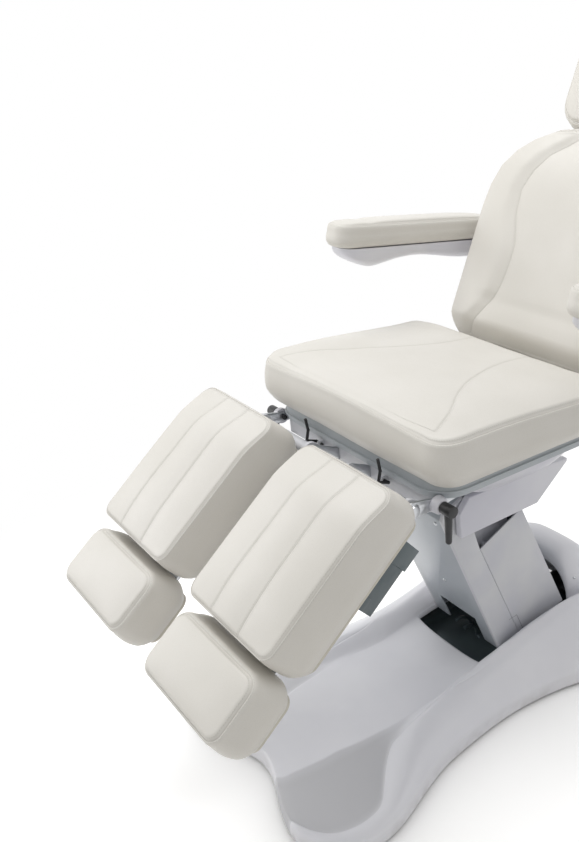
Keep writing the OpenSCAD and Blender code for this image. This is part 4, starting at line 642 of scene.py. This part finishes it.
face_out = Matrix.Rotation(math.radians(90), 4, "X")
front_y, front_taper, front_foot, front_run, screw_sunk = -0.120, 0.012, 0.011, 0.457, 0.0003
screws("arm_front_screws", 0.0050, 0.0022, [
    arm_place @ Matrix.Translation((x, front_y + (s - front_foot) * front_taper / front_run
                                    - screw_sunk, s)) @ face_out
    for x, s in ((0.004, 0.199), (-0.088, 0.440), (0.088, 0.440))], "lift_arm")
guide_radius, guide_sweep, guide_y, guide_z = 0.0045, math.radians(115), 0.118, 0.018
guide_turn = Matrix.Rotation(math.radians(90), 4, "Z") @ Matrix.Rotation(math.radians(-100), 4, "Y")
guides = []
for x, reach in ((-0.052, 0.044), (-0.022, 0.036), (0.030, 0.040)):
    guide = bmesh.new()
    bmesh.ops.create_circle(guide, cap_ends=False, radius=guide_radius, segments=12)
    bmesh.ops.translate(guide, vec=(reach, 0, 0), verts=guide.verts)
    bmesh.ops.spin(guide, geom=guide.verts[:] + guide.edges[:], axis=(0, 1, 0), cent=(0, 0, 0),
                   angle=guide_sweep, steps=14)
    closed(guide)
    bmesh.ops.transform(guide, matrix=Matrix.Translation((x, guide_y, guide_z)) @ guide_turn,
                        verts=guide.verts)
    guides.append(guide)
fit("cable_guides", gathered(guides), dark_paint, "base", (), 40)
hood_screw_x, hood_screw_y, hood_screw_z, hood_screw_tip = 0.118, 0.350, 0.166, 0.5
screws("hood_screws", 0.0045, 0.0020, [
    Matrix.Translation((hand * hood_screw_x, hood_screw_y, hood_screw_z))
    @ Matrix.Rotation(hand * hood_screw_tip, 4, "Y") for hand in (1, -1)], "base")
dress("levelling_bars", "level_link", 0.0010, dark_paint, "parallel_link")


# ---------------------------------------------------------------- Arm head
# The bracket that stays level on top of the arm carries the seat's tilt hinge. Moulded cheeks
# cover the pivots at both sides.
upper_plastic = moulded("upper_plastic", "upper_moulding", tint(220, 220, 225),
                        tint(210, 210, 219), 0.36)
dress("head_weldment", "head_bracket", 0.0010, arm_paint, "head")
dress("head_cheeks", "head_cover", 0.0025, upper_plastic, "head", 3, 40)
dress("tilt_motor_case", "tilt_motor", 0.0020, black_plastic, "tilt_motor")
dress("tilt_rod_turned", "tilt_rod", 0.0008, bright_steel, "tilt_rod")


# ---------------------------------------------------------------- Seat frame, tray and belly pan
# Painted steel frame rails carry a moulded tray with a flanged rim, which holds the cushion, and
# a smooth pan that closes the mechanism from below.
def cut_away(shape, boxes):
    """A bmesh less a list of boxes, given by their low and high corners."""
    blank = stood("blank", shape)
    cutters = []
    for low, high in boxes:
        cutter = bmesh.new()
        bmesh.ops.create_cube(cutter, size=1.0)
        bmesh.ops.scale(cutter, vec=[h - l for l, h in zip(low, high)], verts=cutter.verts)
        bmesh.ops.translate(cutter, vec=[(h + l) / 2 for l, h in zip(low, high)],
                            verts=cutter.verts)
        cutters.append(stood("cutter", cutter))
        cutting = blank.modifiers.new("cutting", "BOOLEAN")
        cutting.operation, cutting.solver, cutting.object = "DIFFERENCE", "EXACT", cutters[-1]
    seen = blank.evaluated_get(bpy.context.evaluated_depsgraph_get())
    made = bpy.data.meshes.new_from_object(seen)
    result = bmesh.new()
    result.from_mesh(made)
    bpy.data.meshes.remove(made)
    for spare in (blank, *cutters):
        spare_mesh = spare.data
        bpy.data.objects.remove(spare)
        bpy.data.meshes.remove(spare_mesh)
    return result


tray_plastic = moulded("tray_plastic", "tray_moulding", tint(178, 184, 188), tint(168, 174, 179),
                       0.42)
dress("seat_rails", "seat_frame", 0.0010, dark_paint, "seat")
dress("seat_pan", "seat_tray", 0.0015, tray_plastic, "seat")
pan_half, pan_front, pan_rear, pan_depth, pan_top = 0.210, -0.112, 0.295, 0.094, 0.6397
pan_lip, pan_step, pan_wall = 0.004, 0.001, 0.0035
pan_table = ((0.00, 0.84, 0.02), (0.08, 0.93, 0.38), (0.18, 0.98, 0.80), (0.30, 1.00, 0.96),
             (0.50, 1.00, 1.00), (0.68, 1.00, 0.98), (0.84, 0.98, 0.66), (0.94, 0.94, 0.36),
             (1.00, 0.88, 0.10))
pan_points = []
for k in range(37):
    v = smooth(k / 36) * 0.5 + k / 72
    w = curve(pan_table, v, 1) * pan_half
    d = max(curve(pan_table, v, 2) * pan_depth, 0) + pan_lip
    pan_points.append([(s * w, pan_front + v * (pan_rear - pan_front),
                        pan_top - pan_step - d * bow(s, 6)) for s in arch])
pan, _, edge = skin(pan_points)
for v in grow(pan, edge):
    v.co.z = pan_top
bmesh.ops.recalc_face_normals(pan, faces=pan.faces)
if min(pan.faces, key=lambda f: f.calc_center_median().z).normal.z > 0:
    bmesh.ops.reverse_faces(pan, faces=pan.faces)
bmesh.ops.solidify(pan, geom=pan.faces[:], thickness=-pan_wall)
# Ways through the pan for the arm head, the frame rails and the back motor.
pan = cut_away(pan, [((-0.082, -0.0165, 0.45), (0.082, 0.238, 0.598)),
                     ((0.149, -0.167, 0.609), (0.176, 0.300, 0.66)),
                     ((-0.176, -0.167, 0.609), (-0.149, 0.300, 0.66)),
                     ((0.078, 0.230, 0.580), (0.138, 0.300, 0.66))])
fit("belly_shell", pan, upper_plastic, "seat", ("belly_pan",), 40)
dress("front_rail", "front_beam", 0.0015, arm_paint, "seat")
dress("hinge_plates", "leg_side_plates", 0.0012, bright_steel, "seat")
dress("hinge_bolts", "leg_hinge_shafts", 0.0010, bright_steel, "seat")
side_on = Matrix.Rotation(math.radians(90), 4, "Y")
leg_hinge_y, leg_hinge_z = -0.250, 0.641
for name, finish, bend, spot, profile in (
        ("hinge_washers", bright_steel, 40, (0.2550, leg_hinge_y, leg_hinge_z),
         [(0.0, 0.0012), (0.0142, 0.0012), (0.0148, 0.0008), (0.0148, 0.0), (0.0, 0.0)]),
        ("clamp_bosses", upper_plastic, 50, (0.2552, -0.197, 0.637),
         [(0.0, 0.0165), (0.0105, 0.0165), (0.0135, 0.0150), (0.0155, 0.0115), (0.0162, 0.0060),
          (0.0165, 0.0), (0.0, 0.0)])):
    fit(name, gathered([turned(profile, Matrix.Diagonal((hand, 1, 1, 1)) @ Matrix.Translation(spot)
                               @ side_on) for hand in (1, -1)]), finish, "seat", (), bend)
dress("back_motor_case", "back_motor", 0.0020, black_plastic, "back_motor")
dress("back_rod_turned", "back_rod", 0.0008, bright_steel, "back_rod")


# ---------------------------------------------------------------- Seat cushion
# Moulded foam on a board, tightly covered in smooth cream leather. A sewn seam with a row of
# stitches at each side runs round the top edge, and two curved seams divide the top panel.
def stitched_leather():
    """Smooth leather: pebbled grain, faint clouds, and seams read from the piece's own maps."""
    finish = Finish("cream_leather", "cushion_leather", IOR=1.45, Sheen_Weight=0.06)
    cells = finish.add("ShaderNodeTexVoronoi",
                       {"Vector": finish.place(), "Scale": 620.0, "Randomness": 0.9},
                       feature="DISTANCE_TO_EDGE")
    pebble = cells.ramp(0.0, 0.16)
    patches = finish.cloud(4.0, 3.0)
    fine = finish.cloud(160.0, 3.0)
    row_off, stitch_run, pucker_reach = 0.0034, 0.0046, 0.016
    crease, thread, hole, pucker = 0.0, 0.0, 0.0, 0.0
    for name in ("Rim", "Channel"):
        split = finish.add("ShaderNodeUVMap", uv_map=name)
        along = finish.add("ShaderNodeSeparateXYZ", {0: split}, out="X")
        off = abs(finish.add("ShaderNodeSeparateXYZ", {0: split}, out="Y"))
        crease = (1 - off.ramp(0.0002, 0.0011)) + crease
        row = 1 - abs(off - row_off).ramp(0.0003, 0.0008)
        step = (along / stitch_run).do("FRACT")
        dash = step.ramp(0.10, 0.22) * (1 - step.ramp(0.78, 0.90))
        thread = row * dash + thread
        hole = row * (1 - dash) + hole
        drawn = finish.add("ShaderNodeMapping", {"Vector": split, "Scale": (60.0, 22.0, 1.0)})
        waves = finish.cloud(1.0, 2.0, drawn)
        pucker = (1 - off.ramp(0.003, pucker_reach)) * (waves - 0.5) + pucker
    colour = finish.mix(patches.ramp(0.3, 0.7), tint(219, 216, 210), tint(213, 210, 203))
    colour = finish.mix((1 - pebble) * 0.16, colour, tint(190, 184, 170))
    # Painted shade: the seam crease and the stitch holes are painted darker, for the shade that
    # falls in them. Their bumps and roughness are real relief.
    colour = finish.mix(crease * 0.20, colour, tint(172, 166, 154))
    colour = finish.mix(hole * 0.20, colour, tint(150, 144, 130))
    finish.drive("Base Color", finish.mix(thread * 0.5, colour, tint(214, 212, 204)))
    finish.drive("Roughness", 0.40 + (patches - 0.5) * 0.10 + (1 - pebble) * 0.10
                 + (fine - 0.5) * 0.06 + crease * 0.2)
    rise = finish.relief(pebble, 0.00012, 0.35)
    rise = finish.relief(fine, 0.0004, 0.25, rise)
    rise = finish.relief(pucker, 0.0014, 0.45, rise)
    finish.drive("Normal", finish.relief(thread * 0.7 - crease - hole * 0.5, 0.0006, 0.8, rise))
    return finish


leather = stitched_leather()
margin, panel_rise, fill = 0.009, 0.0028, 0.85
channel_places = (-0.009, -0.0055, -0.0028, 0.0, 0.0028, 0.0055, 0.009)
far_off = 0.05


def upholster(name, width, length, height, corners, place, body, nodes, crown, inner, outer, rows,
              fall=lambda x, y: 0.0, swell=lambda x, y: 0.0, channel=None, sink=0.004,
              bulge=0.0048, tuck=0.010, roll=0.009, ledge=0.0038, seam_in=0.0012, wander=1.0):
    """A stuffed and sewn cushion: x across, y along from nought, z up from the board it sits on.
    The top panel is a grid, and each ring outside it is one line of the cover: stitches, the
    seam, the rolled edge, the side band and the edge pulled in under the board."""
    inset = seam_in + margin
    half = width / 2 - inset

    def corner(radius, steps):
        r = max(0.004, radius - inset)
        turns = [math.radians(15 * k) for k in steps]
        return [(inset + r * (1 - math.cos(a)), half - r * (1 - math.sin(a))) for a in turns]

    near = corner(corners[0], range(7))
    away = [(length - y, reach) for y, reach in corner(corners[1], range(6, -1, -1))]
    run = [(near[-1][0] + (away[0][0] - near[-1][0]) * k / rows, half) for k in range(1, rows)]

    def top(x, y, line, fade):
        u, v = 2 * x / width, 2 * y / length - 1
        dome = crown * (1 - abs(u) ** 3.2) * (1 - abs(v) ** 3.2)
        z = height + fall(x, y) + dome + panel_rise + swell(x, y)
        if line is not None:
            off = abs(x) - line
            z -= fade * sink * (0.5 * math.exp(-(off / 0.0028) ** 2)
                                + 0.5 * math.exp(-(off / 0.016) ** 2))
        life = noise.noise(Vector((x * 7, y * 7, height * 31))) \
            + 0.4 * noise.noise(Vector((x * 19, y * 19, width * 9)))
        return z + 0.0013 * wander * life

    points, tags = [], []
    for y, reach in near + run + away:
        line, fade = None, 0.0
        places = [reach * k / (inner + outer) for k in range(inner + outer + 1)]
        if channel:
            wanted = channel(y)
            line = min(wanted, reach - 0.030)
            fade = smooth(1 - (wanted - line) / 0.02)
            first, last = line + channel_places[0], line + channel_places[-1]
            places = [first * k / inner for k in range(inner)] \
                + [line + o for o in channel_places] \
                + [last + (reach - last) * k / outer for k in range(1, outer + 1)]
        row = [(-x, y) for x in places[:0:-1]] + [(x, y) for x in places]
        points.append([(x, y, top(x, y, line, fade)) for x, y in row])
        tags.append([abs(x) - line if fade > 0.5 else far_off for x, y in row])
    cover, grid, edge = skin(points)
    maps = {v: (0.0, far_off, points[j][i][1], tags[j][i]) for (j, i), v in grid.items()}
    edge_tags = [maps[v][3] for v in edge]
    directions = outward(edge)
    base = [v.co.copy() for v in edge]
    seam = [b + d * margin for b, d in zip(base, directions)]
    travel, total = [], 0.0
    for k, spot in enumerate(seam):
        travel.append(total)
        total += (seam[(k + 1) % len(seam)] - spot).to_2d().length
    for v, t, tag in zip(edge, travel, edge_tags):
        maps[v] = (t, margin, v.co.y, tag)
    drops = [height + fall(s.x, s.y) for s in seam]

    def ring(offset, height_of, mark, keeps):
        nonlocal edge
        edge = grow(cover, edge)
        for k, v in enumerate(edge):
            z, life = height_of(k), 0.0
            if mark <= -0.016:
                life = noise.noise(Vector((seam[k].x * 6, seam[k].y * 6, z * 14)))
            spot = seam[k] + directions[k] * (offset + 0.0016 * wander * life)
            v.co = (spot.x, spot.y, z)
            maps[v] = (travel[k], mark, spot.y, edge_tags[k] if keeps else far_off)

    for offset in (-0.0065, -0.0042, -0.0020, 0.0):
        rest = (1 + offset / margin) ** 2
        dip = 0.0009 if offset == 0.0 else 0.0
        ring(offset, lambda k: drops[k] - dip + (base[k].z - drops[k]) * (1 - rest), -offset, True)
    for angle in (16, 34, 52, 71, 90):
        a = math.radians(angle)
        out, down, lift = ledge * math.sin(a), roll * (1 - math.cos(a)), 0.0012 * math.sin(2 * a)
        ring(out, lambda k: drops[k] - down + lift, -math.hypot(out, down), False)
    for q in (0.10, 0.22, 0.36, 0.50, 0.64, 0.76, 0.86, 0.93, 0.975, 1.0):
        out = ledge + bulge * math.sin(math.pi * min(1.0, q / 0.92)) ** 0.9 \
            - tuck * smooth((q - 0.62) / 0.38) - 0.004 * smooth((q - 0.93) / 0.07)
        ring(out, lambda k: (drops[k] - roll) * (1 - q),
             -math.hypot(ledge, roll) - q * (height - roll), False)
    for shrink in (0.94, 0.6):
        edge = grow(cover, edge)
        for k, v in enumerate(edge):
            v.co = (seam[k].x * shrink, length / 2 + (seam[k].y - length / 2) * shrink, 0.0)
            maps[v] = (travel[k], -0.2, seam[k].y, far_off)
    closed(cover)
    rim_map = cover.loops.layers.uv.new("Rim")
    channel_map = cover.loops.layers.uv.new("Channel")
    for face in cover.faces:
        around = [maps[loop.vert][0] for loop in face.loops]
        wraps = max(around) - min(around) > total / 2
        for loop in face.loops:
            t, mark, y, tag = maps[loop.vert]
            loop[rim_map].uv = (t + (total if wraps and t < total / 2 else 0.0), mark)
            loop[channel_map].uv = (y, tag)
    bmesh.ops.transform(cover, matrix=place, verts=cover.verts)
    piece = fit(name, cover, leather, body, nodes)


seat_width, seat_length, seat_front, seat_under, seat_high = 0.600, 0.512, -0.215, 0.675, 0.088
seat_line = ((-0.03, 0.262), (0.02, 0.250), (0.085, 0.215), (0.14, 0.170), (0.215, 0.125),
             (0.315, 0.090), (0.420, 0.084), (0.53, 0.086))


def seat_fall(x, y):
    """The top drops to the rear and over the back edge, and waves a little along the front."""
    front_wave = 0.0045 * math.cos(x / seat_width * 2 * math.pi) * (1 - smooth(y / 0.05))
    rear_edge = -0.044 * (1 - smooth((seat_length - y) / 0.110))
    return rear_edge - 0.012 * smooth((y - 0.10) / 0.30) + front_wave


def seat_swell(x, y):
    """Fuller at both sides, and sat in along the middle."""
    return 0.004 * smooth((abs(x) - 0.16) / 0.08) - 0.003 * smooth(1 - abs(x) / 0.16)


upholster("seat_upholstery", seat_width, seat_length, seat_high, (0.052, 0.040),
          Matrix.Translation((0.0, seat_front, seat_under)), "seat", ("seat_cushion",),
          crown=0.020, fall=seat_fall, swell=seat_swell, channel=lambda y: curve(seat_line, y, 1),
          sink=0.0012, inner=12, outer=12, rows=30, roll=0.008, ledge=0.005)


# ---------------------------------------------------------------- Leg rests
# Two leg rests, each a steel yoke and frame, a board, a long cushion with two sewn channels, a
# slide with a foot pad, a clamping lever and a bent release rod.
leg_slope = math.radians(40.5)
leg_pad_width, leg_pad_middle, leg_pad_foot = 0.257, 0.1815, 0.0215
leg_length, leg_high, leg_start = 0.318, 0.1045, -0.320
foot_length, foot_high, foot_start = 0.120, 0.0905, -0.464
board_finish = Finish("board_back", "board_wood", IOR=1.5)
layers = board_finish.cloud(60.0, 4.0, board_finish.place((0.3, 3.0, 3.0)))
board_finish.drive("Base Color", board_finish.mix(layers, tint(206, 201, 190), tint(190, 184, 172)))
board_finish.drive("Roughness", 0.55 + (layers - 0.5) * 0.2)
board_finish.drive("Normal", board_finish.relief(layers, 0.0003, 0.5))
for side, hand in (("left", 1), ("right", -1)):
    leg_place = Matrix.Diagonal((hand, 1, 1, 1)) \
        @ Matrix.Translation((0.0, leg_hinge_y, leg_hinge_z)) @ Matrix.Rotation(leg_slope, 4, "X")
    upholster(side + "_leg_upholstery", leg_pad_width, leg_length, leg_high, (0.022, 0.026),
              leg_place @ Matrix.Translation((leg_pad_middle, leg_start, leg_pad_foot)),
              side + "_leg", (side + "_leg_cushion",), crown=0.012,
              fall=lambda x, y: -0.014 * (1 - smooth((leg_length - y) / 0.085)),
              swell=lambda x, y: 0.002 * smooth(1 - abs(x) / 0.05),
              channel=lambda y: 0.042 + 0.002 * math.cos(y * 10), sink=0.0020,
              inner=7, outer=9, rows=20)
    upholster(side + "_foot_upholstery", leg_pad_width, foot_length, foot_high, (0.028, 0.030),
              leg_place @ Matrix.Translation((leg_pad_middle, foot_start, leg_pad_foot)),
              side + "_foot",
              (side + "_foot_cushion",), crown=0.011, inner=8, outer=8, rows=8, roll=0.014,
              ledge=0.007, seam_in=0.005, bulge=0.007)
    dress(side + "_yoke_weldment", side + "_yoke", 0.0010, arm_paint, side + "_yoke")
    dress(side + "_leg_rails", side + "_leg_frame", 0.0012, dark_paint, side + "_leg")
    dress(side + "_leg_ply", side + "_leg_board", 0.0015, board_finish, side + "_leg")
    dress(side + "_foot_ply", side + "_foot_board", 0.0015, board_finish, side + "_foot")
    dress(side + "_foot_runner", side + "_foot_slide", 0.0008, bright_steel, side + "_foot")
    dress(side + "_clamp", side + "_clamp_lever", 0.0010, black_plastic, side + "_clamp")
    dress(side + "_release", side + "_release_rod", 0.0003, black_plastic, side + "_release", 1, 40)


# ---------------------------------------------------------------- Back rest
# A welded back frame, a moulded rear shell, and a cushion with a raised bolster along each side,
# set off by a seam that curves in at the waist and closes over the top.
back_lean = math.radians(23.5)
back_place = Matrix.Translation((0.0, 0.325, 0.660)) @ Matrix.Rotation(-back_lean, 4, "X")
cushion_turn = Matrix.Rotation(math.radians(90), 4, "X")
dress("back_weldment", "back_frame", 0.0012, dark_paint, "back")
dress("armrest_axle", "armrest_shaft", 0.0008, bright_steel, "back")
back_width, back_length, back_high = 0.572, 0.508, 0.080
back_line = ((0.0, 0.236), (0.035, 0.206), (0.086, 0.165), (0.124, 0.140), (0.180, 0.130),
             (0.233, 0.132), (0.298, 0.155), (0.355, 0.164), (0.398, 0.148), (0.442, 0.119),
             (0.480, 0.069), (0.508, 0.050))


def back_fall(x, y):
    """The top drops over the foot and, more gently, towards the head."""
    return -0.030 * (1 - smooth(y / 0.050)) - 0.016 * (1 - smooth((back_length - y) / 0.120))


def back_swell(x, y):
    """A raised bolster outside the seam, a hollow down the middle and a soft line at the loin."""
    bolster = 0.008 * smooth((abs(x) - curve(back_line, y, 1)) / 0.04) * smooth(y / 0.06)
    loin = 0.003 * math.exp(-((y - 0.10) / 0.012) ** 2) * (abs(x) < 0.2)
    return bolster - 0.003 * smooth(1 - abs(x) / 0.12) - loin


upholster("back_upholstery", back_width, back_length, back_high, (0.036, 0.200),
          back_place @ Matrix.Translation((0.0, 0.025, 0.038)) @ cushion_turn, "back",
          ("back_cushion",), crown=0.022, fall=back_fall, swell=back_swell,
          channel=lambda y: curve(back_line, y, 1), sink=0.0022, inner=12, outer=12, rows=28,
          roll=0.015, ledge=0.008)
shell_half, shell_length, shell_deep, shell_wall = 0.276, 0.488, 0.040, 0.0035
foot_radius, head_radius = 0.036, 0.190
shell_points = []
for k in range(41):
    v = k / 40
    y = shell_length * v
    pull = 0.0
    for radius, run in ((foot_radius, y), (head_radius, shell_length - y)):
        if run < radius:
            pull = radius - math.sqrt(max(0.0, radius * radius - (radius - run) ** 2))
    w = shell_half - pull * 0.985
    shell_points.append([(s * w, y, max(0.0005, shell_deep * bow(s, 5) * bow(2 * v - 1, 7)))
                         for s in arch])
rear, _, _ = skin(shell_points)
bmesh.ops.recalc_face_normals(rear, faces=rear.faces)
if sum(f.normal.z for f in rear.faces) < 0:
    bmesh.ops.reverse_faces(rear, faces=rear.faces)
bmesh.ops.solidify(rear, geom=rear.faces[:], thickness=-shell_wall)
bmesh.ops.transform(rear, matrix=back_place @ Matrix.Translation((0.0, 0.0253, 0.048))
                    @ cushion_turn @ Matrix.Diagonal((1, 1, -1, 1)), verts=rear.verts)
subdivided(fit("back_rear_shell", rear, upper_plastic, "back", ("back_shell",)), 1)
screws("back_shell_screws", 0.0048, 0.0020, [
    back_place @ Matrix.Translation((x, 0.0645, z)) @ Matrix.Rotation(math.radians(-90), 4, "X")
    for x in (-0.17, 0.17) for z in (0.12, 0.36)], "back")


# ---------------------------------------------------------------- Armrests
# Each armrest is a leather pad on a moulded tub, which turns on the shaft through the back frame.
armrest_turn = Matrix.Translation((0.0, 0.4682, 0.8965)) \
    @ Matrix.Rotation(math.radians(-4.5), 4, "X")
armrest_middle, armrest_start, pad_foot, pad_front = 0.360, -0.448, 0.0133, -0.450
tub_rim, tub_half = 0.0115, 0.0395
tub_table = ((0.012, 0.30, 0.004), (0.014, 0.46, 0.009), (0.019, 0.66, 0.016), (0.031, 0.88, 0.025),
             (0.054, 0.98, 0.036), (0.089, 1.00, 0.0455), (0.128, 1.00, 0.039),
             (0.165, 1.00, 0.032), (0.205, 1.00, 0.0285), (0.255, 1.00, 0.0305),
             (0.340, 1.00, 0.0415), (0.400, 1.00, 0.0445), (0.440, 0.96, 0.040),
             (0.458, 0.78, 0.030), (0.462, 0.60, 0.022))
tub_run = tub_table[-1][0] - tub_table[0][0]
for side, hand in (("left", 1), ("right", -1)):
    armrest_place = Matrix.Diagonal((hand, 1, 1, 1)) @ armrest_turn
    upholster(side + "_armrest_upholstery", 0.088, 0.464, 0.047, (0.037, 0.022),
              armrest_place @ Matrix.Translation((armrest_middle, pad_front, pad_foot)),
              side + "_armrest", (side + "_armrest_pad",), crown=0.008,
              swell=lambda x, y: -0.0028 * math.exp(-((y - 0.085) / 0.012) ** 2),
              inner=7, outer=7, rows=24, roll=0.017, ledge=0.006, seam_in=0.008, bulge=0.0025,
              tuck=0.003, wander=0.5)
    tub_points = []
    for k in range(49):
        q = k / 48
        y = tub_table[0][0] + tub_run * (0.4 * q ** 2.2 + 0.6 * q ** 1.3)
        w, d = curve(tub_table, y, 1) * tub_half, curve(tub_table, y, 2)
        tub_points.append([(s * w, y, tub_rim - d * (0.42 + 0.58 * bow(s, 3.4))) for s in arch])
    tub, _, edge = skin(tub_points)
    for v in grow(tub, edge):
        v.co.z = tub_rim
    closed(tub)
    bmesh.ops.transform(tub, verts=tub.verts, matrix=armrest_place
                        @ Matrix.Translation((armrest_middle, armrest_start, 0.0)))
    fit(side + "_armrest_tub", tub, upper_plastic, side + "_armrest",
        (side + "_armrest_shell",), 50)


# ---------------------------------------------------------------- Headrest
# A small cushion on a board, carried by two steel posts that slide in the back frame's sockets.
dress("headrest_rods", "headrest_posts", 0.0010, bright_steel, "headrest")
dress("headrest_ply", "headrest_board", 0.0015, board_finish, "headrest")
upholster("headrest_upholstery", 0.350, 0.205, 0.042, (0.060, 0.060),
          back_place @ Matrix.Translation((0.0, 0.025, 0.560)) @ cushion_turn, "headrest",
          ("headrest_cushion",), crown=0.014, inner=9, outer=9, rows=14, roll=0.016,
          ledge=0.010, seam_in=0.010, bulge=0.004, tuck=0.004)
